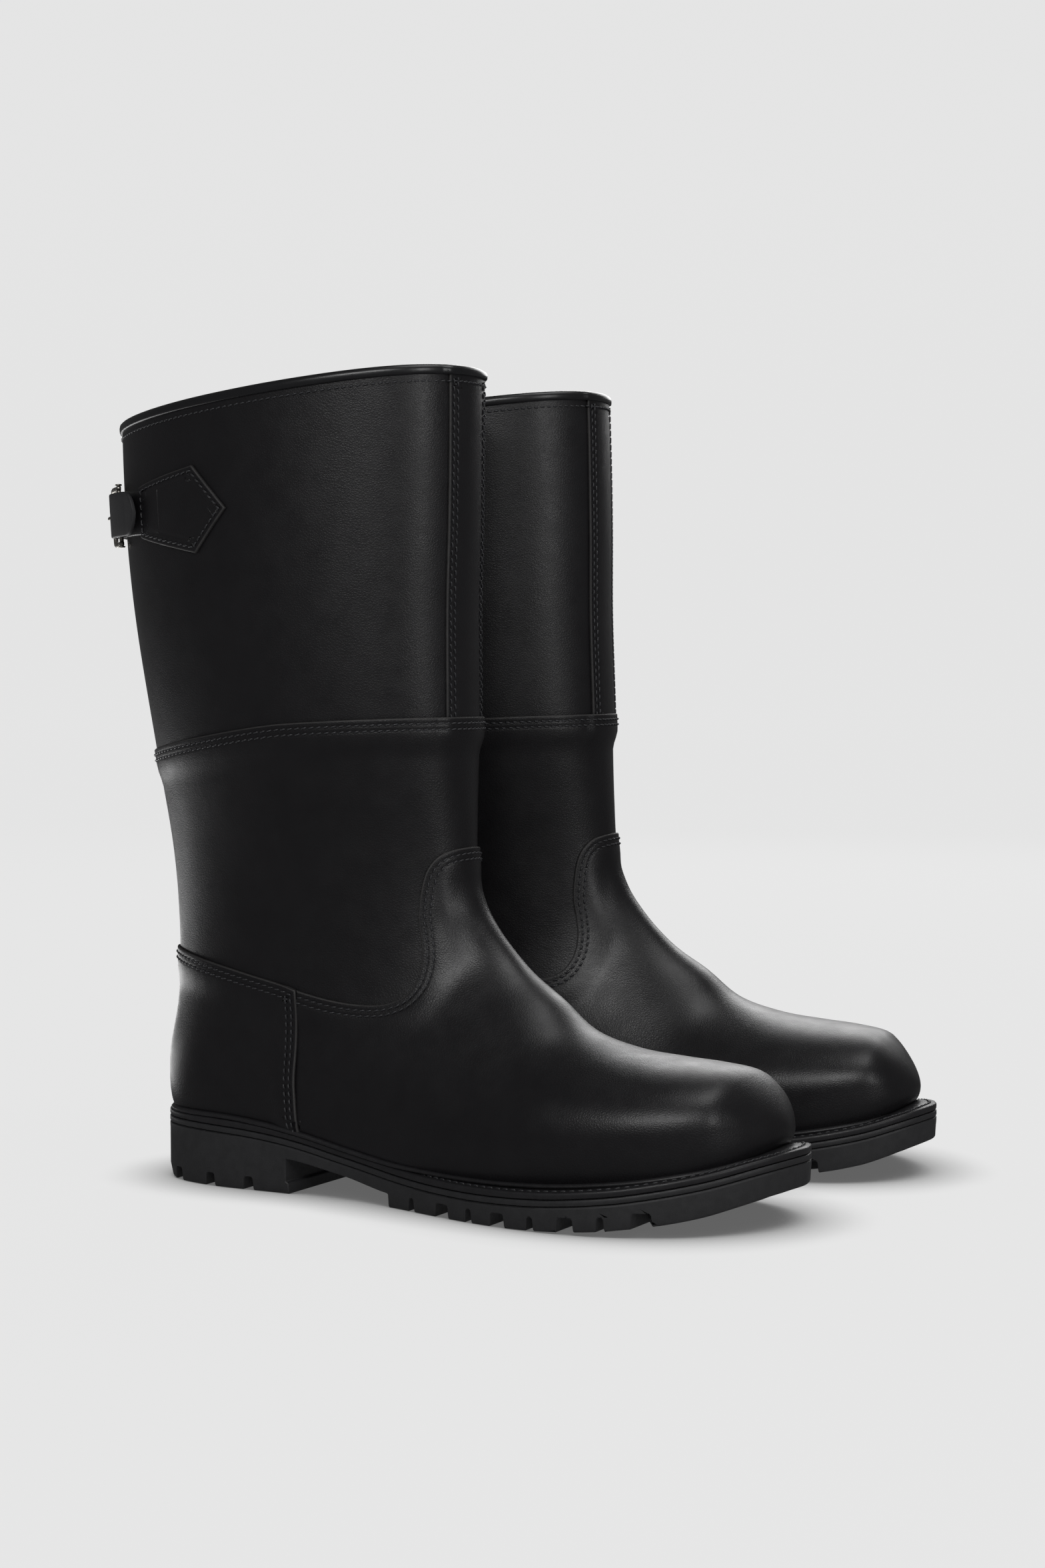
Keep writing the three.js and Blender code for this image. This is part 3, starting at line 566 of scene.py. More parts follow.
# ---- Blender objects ----
def build(boot, name, verts, faces, materials, body="boots", replaces=(), rims=(), weld=0.004):
    """One Blender piece from points in the boot's frame; rims are faces in the second material."""
    mesh = bpy.data.meshes.new(name)
    every = list(faces) + list(rims)
    mesh.from_pydata([tuple(v) for v in boot.place(verts)], [], every)
    for m in materials:
        mesh.materials.append(m)
    if len(rims):
        index = np.zeros(len(every), int)
        index[len(faces):] = 1
        mesh.polygons.foreach_set("material_index", index)
    work = bmesh.new()
    work.from_mesh(mesh)
    if weld:
        bmesh.ops.remove_doubles(work, verts=work.verts, dist=weld / 1000)
    loose = [v for v in work.verts if not v.link_faces]
    bmesh.ops.delete(work, geom=loose, context="VERTS")
    bmesh.ops.recalc_face_normals(work, faces=work.faces)
    for f in work.faces:
        f.smooth = True
    work.to_mesh(mesh)
    work.free()
    obj = bpy.data.objects.new(name, mesh)
    bpy.context.scene.collection.objects.link(obj)
    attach(obj, body)
    if replaces:
        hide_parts(*replaces)
    return obj


def stitch_mesh(lines, pitch=STITCH, radius=0.42, length=0.76, height=0.3, slant=0.16):
    """Threads lying on a surface along 3-D lines with normals: one bowed thread for each stitch."""
    verts, faces = [], []
    for line, normals in lines:
        steps = np.linalg.norm(np.diff(line, axis=0), axis=1)
        along = np.concatenate([[0], np.cumsum(steps)])
        count = int(along[-1] // pitch)
        if count < 1:
            continue
        real = along[-1] / count
        for n in range(count):
            centre = (n + 0.5) * real
            places = centre + np.linspace(-0.5, 0.5, 7) * real * length
            path = np.stack([np.interp(places, along, line[:, k]) for k in range(3)], 1)
            up = np.stack([np.interp(places, along, normals[:, k]) for k in range(3)], 1)
            up /= np.linalg.norm(up, axis=1, keepdims=True)
            ahead = np.gradient(path, axis=0)
            ahead /= np.maximum(np.linalg.norm(ahead, axis=1, keepdims=True), 1e-9)
            sideways = np.cross(up, ahead)
            u = np.linspace(-1, 1, 7)
            path = path + up * (height * (1 - u ** 4) - radius * 0.9 * np.abs(u) ** 6)[:, None]
            path = path + sideways * (slant * u * real * length / 2)[:, None]
            size = radius * (1 - 0.35 * u ** 4)
            base = len(verts)
            for k in range(7):
                for m in range(6):
                    t = 2 * math.pi * m / 6
                    verts.append(path[k] + (up[k] * math.sin(t) * 0.85 + sideways[k] * math.cos(t)) * size[k])
            for k in range(6):
                for m in range(6):
                    o = (m + 1) % 6
                    low, high = base + k * 6, base + k * 6 + 6
                    faces.append((low + m, low + o, high + o, high + m))
            faces.append(tuple(base + m for m in range(6)))
            faces.append(tuple(base + 36 + 5 - m for m in range(6)))
    return np.array(verts), faces


def sweep(path, frames, profile, closed=False):
    """Skins a closed profile along a path. frames is (first axis, second axis) for every point, and
    profile is one outline or one for each point."""
    path = np.asarray(path)
    count = len(path)
    profile = np.asarray(profile, float)
    if profile.ndim == 2:
        profile = np.repeat(profile[None], count, 0)
    a, b = frames
    return skin(path[:, None] + a[:, None] * profile[:, :, :1] + b[:, None] * profile[:, :, 1:2], closed)


def skin(rings, closed=False, caps=True):
    """Joins a row of rings of points into one surface."""
    rings = np.asarray(rings)
    count, size = rings.shape[:2]
    faces = []
    for i in range(count if closed else count - 1):
        j = (i + 1) % count
        for k in range(size):
            m = (k + 1) % size
            faces.append((i * size + k, i * size + m, j * size + m, j * size + k))
    if caps and not closed:
        faces.append(tuple(range(size)))
        faces.append(tuple((count - 1) * size + k for k in reversed(range(size))))
    return rings.reshape(-1, 3), faces


def joined(*parts):
    verts, faces, base = [], [], 0
    for v, f in parts:
        verts.append(np.asarray(v))
        faces += [tuple(base + i for i in face) for face in f]
        base += len(v)
    return np.concatenate(verts), faces


def waviness(points, amount, size, seed=0.0):
    return np.array([noise.noise(Vector(p) / size + Vector((seed, seed * 0.7, 0))) for p in points]) * amount


# ---- materials ----
def nodes_of(name):
    m = bpy.data.materials.new(name)
    m.use_nodes = True
    tree = m.node_tree
    tree.nodes.clear()
    out = tree.nodes.new("ShaderNodeOutputMaterial")
    shader = tree.nodes.new("ShaderNodeBsdfPrincipled")
    tree.links.new(shader.outputs[0], out.inputs[0])
    place = tree.nodes.new("ShaderNodeTexCoord").outputs["Object"]
    return m, tree, shader, place


def noise_node(tree, place, scale, detail=3.0, rough=0.55):
    n = tree.nodes.new("ShaderNodeTexNoise")
    n.inputs["Scale"].default_value = scale
    n.inputs["Detail"].default_value = detail
    n.inputs["Roughness"].default_value = rough
    tree.links.new(place, n.inputs["Vector"])
    return n.outputs["Fac"]


def spread(tree, value, low, high, start=0.3, stop=0.7):
    n = tree.nodes.new("ShaderNodeMapRange")
    for key, v in (("From Min", start), ("From Max", stop), ("To Min", low), ("To Max", high)):
        n.inputs[key].default_value = v
    tree.links.new(value, n.inputs["Value"])
    return n.outputs[0]


def blend_colour(tree, value, dark, light):
    n = tree.nodes.new("ShaderNodeMix")
    n.data_type = "RGBA"
    n.inputs["A"].default_value = (*dark, 1)
    n.inputs["B"].default_value = (*light, 1)
    tree.links.new(value, n.inputs["Factor"])
    return n.outputs["Result"]


def bumps(tree, shader, heights):
    """heights: (value, strength, distance in metres) from the broadest to the finest."""
    last = None
    for value, strength, distance in heights:
        n = tree.nodes.new("ShaderNodeBump")
        n.inputs["Strength"].default_value = strength
        n.inputs["Distance"].default_value = distance
        tree.links.new(value, n.inputs["Height"])
        if last:
            tree.links.new(last, n.inputs["Normal"])
        last = n.outputs[0]
    tree.links.new(last, shader.inputs["Normal"])


def pebbles(tree, place, scale):
    cells = tree.nodes.new("ShaderNodeTexVoronoi")
    cells.feature = "DISTANCE_TO_EDGE"
    cells.inputs["Scale"].default_value = scale
    tree.links.new(place, cells.inputs["Vector"])
    return spread(tree, cells.outputs["Distance"], 0.0, 1.0, 0.0, 0.28)


def leather(name, dark=(0.0042, 0.0038, 0.0046), light=(0.0075, 0.007, 0.0082), gloss=(0.34, 0.44),
            grain=0.34, cell=900.0, coat=0.12):
    m, tree, shader, place = nodes_of(name)
    cloud = noise_node(tree, place, 38.0, 4.0)
    tree.links.new(blend_colour(tree, cloud, dark, light), shader.inputs["Base Color"])
    tree.links.new(spread(tree, noise_node(tree, place, 90.0, 5.0), *gloss), shader.inputs["Roughness"])
    shader.inputs["Specular IOR Level"].default_value = 0.5
    shader.inputs["Coat Weight"].default_value = coat
    shader.inputs["Coat Roughness"].default_value = 0.3
    bumps(tree, shader, [
        (noise_node(tree, place, 160.0, 3.0), 0.25, 0.0003),
        (pebbles(tree, place, cell), grain, 0.0001),
        (noise_node(tree, place, 2600.0, 2.0), grain * 0.8, 0.00006),
    ])
    return m


def plain(name, dark, light, gloss, metal=0.0, scale=200.0, bump=0.2, fine=1500.0):
    m, tree, shader, place = nodes_of(name)
    cloud = noise_node(tree, place, scale, 5.0)
    tree.links.new(blend_colour(tree, cloud, dark, light), shader.inputs["Base Color"])
    wear = noise_node(tree, place, scale * 2.3, 4.0)
    tree.links.new(spread(tree, wear, *gloss), shader.inputs["Roughness"])
    shader.inputs["Metallic"].default_value = metal
    bumps(tree, shader, [(noise_node(tree, place, fine, 3.0), bump, 0.00008)])
    return m


def brushed_metal(name):
    m, tree, shader, place = nodes_of(name)
    stretch = tree.nodes.new("ShaderNodeMapping")
    stretch.inputs["Scale"].default_value = (1.0, 1.0, 0.06)
    tree.links.new(place, stretch.inputs["Vector"])
    lines = noise_node(tree, stretch.outputs[0], 5200.0, 3.0)
    cloud = noise_node(tree, place, 420.0, 5.0)
    tarnish = spread(tree, cloud, 0.0, 1.0, 0.35, 0.62)
    tree.links.new(blend_colour(tree, tarnish, (0.2, 0.185, 0.165), (0.56, 0.54, 0.5)),
                   shader.inputs["Base Color"])
    tree.links.new(spread(tree, lines, 0.26, 0.46), shader.inputs["Roughness"])
    shader.inputs["Metallic"].default_value = 1.0
    bumps(tree, shader, [(lines, 0.2, 0.00004)])
    return m


LOOKS = {
    "upper": leather("black leather"),
    "strap": leather("strap leather", (0.012, 0.012, 0.013), (0.022, 0.022, 0.024), (0.5, 0.62),
                     0.3, 1500.0, 0.0),
    "glossy": leather("binding leather", (0.005, 0.005, 0.006), (0.009, 0.009, 0.01), (0.26, 0.34),
                      0.06, 1500.0, 0.25),
    "edge": plain("cut leather edge", (0.012, 0.0115, 0.012), (0.035, 0.033, 0.033), (0.5, 0.7),
                  fine=3200.0),
    "thread": plain("black thread", (0.012, 0.012, 0.014), (0.036, 0.036, 0.04), (0.34, 0.5),
                    scale=900.0, fine=4200.0, bump=0.5),
    "lining": leather("lining leather", (0.02, 0.018, 0.016), (0.04, 0.036, 0.032), (0.6, 0.75),
                      0.3, 1700.0, 0.0),
    "rubber": plain("sole rubber", (0.014, 0.014, 0.015), (0.026, 0.026, 0.028), (0.46, 0.62),
                    bump=0.35, fine=1900.0),
    "midsole": plain("midsole rubber", (0.013, 0.013, 0.014), (0.024, 0.024, 0.026), (0.4, 0.56),
                     bump=0.3, fine=2300.0),
    "welt": plain("welt leather", (0.008, 0.008, 0.009), (0.017, 0.016, 0.018), (0.36, 0.5),
                  bump=0.3, fine=2200.0),
    "board": plain("insole board", (0.2, 0.13, 0.075), (0.3, 0.2, 0.12), (0.75, 0.9), scale=500.0),
    "cork": plain("cork", (0.12, 0.07, 0.035), (0.34, 0.22, 0.12), (0.8, 0.95), scale=700.0, bump=0.6),
    "steel": plain("shank steel", (0.4, 0.4, 0.41), (0.55, 0.55, 0.56), (0.3, 0.45), 1.0),
    "metal": brushed_metal("aged silver"),
}
# looks of the CAD nodes that have no finer piece
CARRIED = {
    "heel_stiffener": "board", "toe_puff": "board", "insole": "board", "cork_filler": "cork",
    "shank": "steel", "sock_liner": "lining",
}


# ---- stage, light and camera ----
def stage_and_lights():
    scene = bpy.context.scene
    scene.view_settings.view_transform = "Standard"
    scene.view_settings.look = "None"
    world = bpy.data.worlds.new("studio")
    world.use_nodes = True
    world.node_tree.nodes["Background"].inputs[0].default_value = (1.0, 1.0, 1.0, 1)
    world.node_tree.nodes["Background"].inputs[1].default_value = WORLD_LIGHT
    scene.world = world
    look, tree, shader, _ = nodes_of("pale backdrop")
    shader.inputs["Base Color"].default_value = (*[FLOOR_ALBEDO] * 3, 1)
    shader.inputs["Roughness"].default_value = 1.0
    shader.inputs["Specular IOR Level"].default_value = 0.0
    shader.inputs["Emission Color"].default_value = (1, 1, 1, 1)
    # painted contact shadow: ambient occlusion dims the backdrop's glow near the soles, from FLOOR_GLOW down
    # to SHADOW_GLOW
    painted_contact_shadow = tree.nodes.new("ShaderNodeAmbientOcclusion")
    painted_contact_shadow.inputs["Distance"].default_value = 0.035
    painted_contact_shadow.samples = 16
    tree.links.new(spread(tree, painted_contact_shadow.outputs["AO"], SHADOW_GLOW, FLOOR_GLOW, 0.3, 0.97),
                   shader.inputs["Emission Strength"])
    profile = [(-40, 0.0), (14, 0.0)] + [
        (14 + 4 * math.sin(t), 4 - 4 * math.cos(t)) for t in np.linspace(0.1, math.pi / 2, 14)] + [(18, 30)]
    along = Vector((0.910, 0.4147, 0)).normalized()
    across = Vector((-along.y, along.x, 0))
    verts = [along * d + across * w + Vector((0, 0, z)) for d, z in profile for w in (-40, 40)]
    faces = [(2 * i, 2 * i + 1, 2 * i + 3, 2 * i + 2) for i in range(len(profile) - 1)]
    mesh = bpy.data.meshes.new("backdrop")
    mesh.from_pydata(verts, [], faces)
    mesh.materials.append(look)
    backdrop = bpy.data.objects.new("backdrop", mesh)
    scene.collection.objects.link(backdrop)
    for f in mesh.polygons:
        f.use_smooth = True
    backdrop.visible_glossy = False
    for name, place, target, size, power in LIGHTS:
        data = bpy.data.lights.new(name, "AREA")
        data.shape = "RECTANGLE"
        data.size, data.size_y = size
        data.energy = power
        lamp = bpy.data.objects.new(name, data)
        lamp.location = place
        lamp.rotation_euler = (Vector(target) - Vector(place)).to_track_quat("-Z", "Y").to_euler()
        lamp.visible_camera = False
        scene.collection.objects.link(lamp)


WORLD_LIGHT = 0.075
FLOOR_ALBEDO = 0.035
# glow of the evenly bright floor and backdrop, and the lower glow of the painted contact shadow under the
# soles
FLOOR_GLOW = 0.768
SHADOW_GLOW = 0.12
# name, place, aimed at, width and height, power
LIGHTS = [
    ("front softbox", (-1.13, -2.55, 0.95), (0, 0, 0.25), (0.35, 1.2), 9),
    ("high softbox", (-2.25, -0.65, 1.5), (0, -0.1, 0.05), (1.7, 0.6), 24),
    ("top softbox", (0.1, -0.9, 2.6), (0, 0, 0.1), (1.5, 1.2), 14),
    ("far softbox", (2.3, 0.3, 1.2), (0, -0.1, 0.1), (1.6, 1.1), 19),
    ("floor bounce", (0.34, 0.55, 0.02), (0.34, 0.55, 2.0), (0.9, 0.55), 4.2),
]
CAMERA_PLACE = (-1.152, -0.5257, 0.2265)
CAMERA_AIM = (0.910, 0.4147, 0.0)


def camera():
    data = bpy.data.cameras.new("camera")
    data.lens = 62.7
    data.sensor_width = 36
    data.shift_y = -0.0653
    data.clip_end = 200
    cam = bpy.data.objects.new("camera", data)
    cam.location = CAMERA_PLACE
    cam.rotation_euler = Vector(CAMERA_AIM).to_track_quat("-Z", "Y").to_euler()
    bpy.context.scene.collection.objects.link(cam)
    bpy.context.scene.camera = cam


camera()
stage_and_lights()


# ---- leather pieces ----
def tree_of(points):
    tree = KDTree(len(points))
    for i, p in enumerate(points):
        tree.insert(p, i)
    tree.balance()
    return tree


def distances(tree, points):
    return np.array([tree.find(p)[2] for p in points])


def make_panel(boot, name, chains, lift, look="upper", rows=(2.6, 5.2), replaces=None, **options):
    panel = Panel(boot, chains, lift, **options)
    full = f"{boot.side}_{name}"
    replaced = [f"{boot.side}_{n}" for n in (replaces if replaces is not None else [name])]
    build(boot, full, panel.verts, panel.faces, [LOOKS[look], LOOKS["edge"]],
          replaces=replaced, rims=panel.rims)
    lines = [line for distance in rows for line in panel.row(distance)]
    if lines:
        add_stitches(boot, name, lines)
    return panel


def add_stitches(boot, name, lines, **options):
    verts, faces = stitch_mesh(lines, **options)
    build(boot, f"{boot.side}_{name}_stitching", verts, faces, [LOOKS["thread"]], weld=0)


def sideways(line, distance):
    ahead = np.gradient(line, axis=0)
    ahead /= np.linalg.norm(ahead, axis=1, keepdims=True)
    return line + np.stack([-ahead[:, 1], ahead[:, 0]], 1) * distance


def ring_at(line, samples=400):
    """A line right round the shaft given by its height at each x, as (section, angle)."""
    a = np.linspace(-math.pi, math.pi, samples)
    low, high = np.zeros(samples), np.full(samples, 8.5)
    for _ in range(30):
        middle = (low + high) / 2
        p = section_point(middle, a)
        over = p[:, 2] > height_at(line, p[:, 0])
        low, high = np.where(over, middle, low), np.where(over, high, middle)
    return np.stack([low, a], 1)


def slit_side(boot, half, bottom, top=343.6, count=70):
    """The line of the slit's outer side: half wider than the opening, from bottom to the topline."""
    z = np.linspace(bottom, top, count)
    y = SLIT_HALF_ANGLE * np.maximum(z - SLIT_BOTTOM, 0) + half
    low, high = np.full(count, math.pi / 2), np.full(count, math.pi)
    for _ in range(30):
        middle = (low + high) / 2
        far = -section_point(boot.section_at(middle, z), middle)[:, 1] > y
        low, high = np.where(far, middle, low), np.where(far, high, middle)
    return np.stack([boot.section_at(low, z), low], 1)


def rounded(flat, reach, closed=False):
    """An evenly stepped line with its corners eased over about reach steps."""
    for _ in range(reach):
        ahead, behind = np.roll(flat, -1, axis=0), np.roll(flat, 1, axis=0)
        eased = (2 * flat + ahead + behind) / 4
        if not closed:
            eased[[0, -1]] = flat[[0, -1]]
        flat = eased
    return flat


def upper_edge(boot, half=SLIT_EDGE, bottom=SLIT_BOTTOM, rise=0.0):
    """Up the slit's outer side and along the topline to the middle of the front."""
    leg = slit_side(boot, half, bottom)
    top = ring_at([[x, z + rise] for x, z in TOPLINE])
    top = top[(top[:, 1] > 0.0) & (top[:, 1] < leg[-1, 1] - 0.01)][::-1]
    top = np.vstack([top, [[top[-1, 0], 0.004]]])
    flat = resample(to_flat(np.vstack([leg, top])), 1 / 3)
    return from_flat(rounded(flat, 55))


def upper_panels(boot):
    """The two leathers of the upper shaft, from the front seam to the slit at the back."""
    bottom = ring_at([[x, z - 8] for x, z in BAND])
    hidden = tree_of(boot.point(*bottom.T)[::4])

    def lift(points, where):
        sunk = 1 - ease((distances(hidden, points) - 2.5) / 4.5)
        return -0.95 * sunk + waviness(points, 0.22, 52.0, 3.0)

    for name, sign in (("outer", 1), ("inner", -1)):
        edge = upper_edge(boot)
        seam = slit_side(boot, 0.35, 187.0, SLIT_BOTTOM - 4)
        back = np.vstack([seam, edge[:1]])
        low = bottom[(bottom[:, 1] > 0.004) & (bottom[:, 1] < seam[0, 1] - 0.004)]
        low = np.vstack([[[low[0, 0], 0.004]], low, seam[:1]])
        front = np.linspace(edge[-1], low[0], 80)
        chains = [(edge, "cut"), (front, "cut"), (low, "cut"), (back, "cut")]
        if sign < 0:
            chains = [(mirrored(line)[::-1], kind) for line, kind in reversed(chains)]
        make_panel(boot, f"upper_shaft_{name}", chains, lift, rows=(), dip=0.0)
    # one row of stitches under the binding, all the way round
    run = upper_edge(boot, SLIT_EDGE + 4.6, SLIT_BOTTOM + 3, -5.9)
    run = np.vstack([run, mirrored(run)[::-1]])
    points, normals = boot.point(*run.T), boot.normal(*run.T)
    over = 1.35 * strip_factor(boot, points)
    add_stitches(boot, "topline", [(points + normals * (over + 0.03)[:, None], normals)], pitch=3.2)


def strip_factor(boot, points):
    """1 over the front strip, 0 away from it."""
    return np.where(points[:, 0] > 60, 1 - ease((np.abs(points[:, 1]) - 15.2) / 3.0), 0.0)


def lower_shaft(boot):
    band = ring_at(BAND)
    under = sideways(curve(ANKLE), -7.0)
    outer = silhouette_line(under, 1)
    inner = silhouette_line(under, -1)
    # bottom edge from the outer back, by the front, to the inner back
    bottom = np.vstack([outer, inner[::-1][1:]])
    upper_edge = tree_of(boot.point(*band.T)[::2])
    lower_edge = tree_of(boot.point(*bottom.T)[::6])

    def lift(points, where):
        near = 1 - ease((distances(upper_edge, points) - 7.5) / 10)
        sunk = 1 - ease((distances(lower_edge, points) - 2.0) / 4.2)
        return (RAISE + 1.15 * strip_factor(boot, points)) * near - 1.0 * sunk + waviness(points, 0.3, 46.0)
    top_chain = band[::-1]  # from the outer back (pi) to the inner back (-pi)
    left = np.stack([np.linspace(top_chain[-1, 0], bottom[-1, 0], 120), np.full(120, -math.pi)], 1)
    right = np.stack([np.linspace(bottom[0, 0], top_chain[0, 0], 120), np.full(120, math.pi)], 1)
    chains = [(top_chain, "sewn"), (left, "weld"), (bottom[::-1], "cut"), (right, "weld")]
    return make_panel(boot, "lower_shaft", chains, lift)


def silhouette_line(line, sign):
    return inside_only(on_side(line, sign))


def vamp(boot):
    line = curve(ANKLE)
    behind = 75.5
    seam = line[line[:, 0] >= behind]
    outer = silhouette_line(seam, 1)  # from the back to the front's middle
    rise = UPPER_RISE
    start = outer[0]
    foot_x, seam_height = 80, 92
    foot_height = height_at(WELT_TOP, behind + 3) + rise
    down = [[behind + (foot_x - behind) * f, seam_height + (foot_height - seam_height) * f]
            for f in np.linspace(0.0, 1, 60)]
    down = on_side(down, 1)
    down[0] = start
    crossing = welt_crossing(16.0, 18.4, rise)
    welt = welt_line(down[-1, 0], crossing, rise)
    welt[0] = down[-1]
    welt[-1, 1] = math.pi
    outside = np.vstack([outer[::-1], down[1:], welt[1:]])  # front's middle, back, down, along to the toe
    edge = tree_of(boot.point(*outer.T)[::2])
    edge_in = tree_of(boot.point(*mirrored(outer).T)[::2])
    hidden_edge = tree_of(np.vstack([boot.point(*down.T), boot.point(*mirrored(down).T)])[::3])

    def lift(points, where):
        away = np.minimum(distances(edge, points), distances(edge_in, points))
        raised = RAISE * (1 - ease((away - 7.5) / 11))
        sunk = 1 - ease((distances(hidden_edge, points) - 2.0) / 4.0)
        toe = ease((points[:, 0] - 215) / 60)
        return raised - 0.8 * sunk + waviness(points, 0.16, 60.0, 1.0) * (1 - 0.6 * toe)
    tip_outer = np.stack([np.linspace(crossing, TIP, 12), np.full(12, math.pi)], 1)
    pole = np.stack([np.full(160, TIP), np.linspace(math.pi, -math.pi, 160)], 1)
    tip_inner = mirrored(tip_outer)[::-1]
    ankle_out, ankle_in = outer[::-1], mirrored(outer)
    chains = [
        (ankle_out, "sewn"), (down, "cut"), (welt, "cut"), (tip_outer, "weld"), (pole, "weld"),
        (tip_inner, "weld"), (mirrored(welt)[::-1], "cut"), (mirrored(down)[::-1], "cut"), (ankle_in, "sewn"),
    ]
    return make_panel(boot, "vamp", chains, lift)


def counter(boot):
    line = curve(ANKLE)
    seam = line[(line[:, 0] <= 82.2)]
    top = silhouette_line(seam, 1)  # from the back's middle to the corner
    rise = UPPER_RISE
    side = curve(COUNTER)
    side = side[side[:, 1] > height_at(WELT_TOP, side[:, 0]) + rise]
    side = on_side(side, 1)
    side[0] = top[-1]
    low = welt_crossing(8.0, 9.6, rise)
    foot = welt_line(side[-1, 0], low, rise)
    foot[0] = side[-1]
    foot[-1, 1] = math.pi
    whole = 2 * math.pi
    edges = np.vstack([top, mirrored(top, whole), side, mirrored(side, whole)])
    raised_edge = tree_of(boot.point(*edges.T)[::2])
    corners = boot.point(*np.array([top[-1], mirrored(top[-1:], whole)[0]]).T)

    def lift(points, where):
        near = 1 - ease((distances(raised_edge, points) - 7.5) / 10)
        corner = np.min([np.linalg.norm(points - c, axis=1) for c in corners], axis=0)
        return RAISE * near + 0.95 * np.exp(-(corner / 9.0) ** 2) + waviness(points, 0.2, 40.0, 5.0)
    top[0, 1] = math.pi
    chains = [
        (top, "sewn"), (side, "sewn"), (foot, "cut"), (mirrored(foot, whole)[::-1], "cut"),
        (mirrored(side, whole)[::-1], "sewn"), (mirrored(top, whole)[::-1], "sewn"),
    ]
    return make_panel(boot, "counter", chains, lift)


def angles_at(boot, y, z, back=False):
    """Angles near the front, or the back, where the shaft is y from the middle plane at height z."""
    y, z = np.broadcast_arrays(np.asarray(y, float), np.asarray(z, float))
    low, high = np.full(y.shape, -1.2), np.full(y.shape, 1.2)
    for _ in range(34):
        middle = (low + high) / 2
        a = math.pi - middle if back else middle
        far = section_point(boot.section_at(a, z), a)[..., 1] > y
        low, high = np.where(far, middle, low), np.where(far, high, middle)
    return math.pi - low if back else low


def straight_strip(boot, name, half, low, high, lift, back=False, **options):
    """A strip up the middle of the front or the back, half wide either side."""
    heights = np.linspace(low, high, 120)
    sides = []
    for y in (-half, half):
        a = angles_at(boot, np.full(120, y), heights, back)
        sides.append(np.stack([boot.section_at(a, heights), a], 1))
    ys = np.linspace(-half, half, 30)

    def across(z):
        a = angles_at(boot, ys, np.full(30, z), back)
        return np.stack([boot.section_at(a, np.full(30, z)), a], 1)
    top, bottom = across(high), across(low)
    chains = [(sides[0][::-1], "sewn"), (bottom, "cut"), (sides[1], "sewn"), (top[::-1], "cut")]
    return make_panel(boot, name, chains, lift, **options)


def strips(boot):
    def front_lift(points, where):
        return 1.35 + waviness(points, 0.12, 40.0, 3.0) - 1.2 * (1 - ease((points[:, 2] - 205) / 6))
    straight_strip(boot, "front_strip", 15.0, 204.0, 361.8, front_lift, rows=(2.0, 4.3), thickness=1.3)

    def back_lift(points, where):
        return 1.2 + RAISE * ease((points[:, 2] - 176) / 8)
    straight_strip(boot, "back_strip", 5.0, 100.6, 193.2, back_lift, back=True, rows=(1.5,), thickness=1.15,
                   body=[(1.2, 0.02), (1.6, 0.1), (2.1, 0.0)])


def patch_outline(boot, sign, tail):
    """The five-sided end of a strap: tip towards the front, tail towards the back."""
    points = [(92.0, 0.0), (103.0, 19.5), (125.5, 12.8), (129.5, 11.4)] + [(a, STRAP_HALF) for a in tail]
    upper = [(shaft_angle(a), STRAP_HEIGHT + h) for a, h in points]
    lower = [(shaft_angle(a), STRAP_HEIGHT - h) for a, h in reversed(points)]
    return [(sign * a, z) for a, z in upper + lower[:-1]]


def patches(boot):
    def lift(points, where):
        return np.full(len(points), 1.75)
    for name, sign, tail in (("strap_patch_end", 1, ()), ("billet_patch", -1, ())):
        corners = patch_outline(boot, sign, tail)
        if sign > 0:
            corners = corners[::-1]
        chains = []
        for (a0, z0), (a1, z1) in zip(corners, corners[1:] + corners[:1]):
            f = np.linspace(0, 1, 24)
            a, z = a0 + (a1 - a0) * f, z0 + (z1 - z0) * f
            chains.append((np.stack([boot.section_at(a, z), a], 1), "sewn"))
        make_panel(boot, name, chains, lift, rows=(2.3,), thickness=1.6, step=1.4,
                   replaces=[name] if sign < 0 else [])


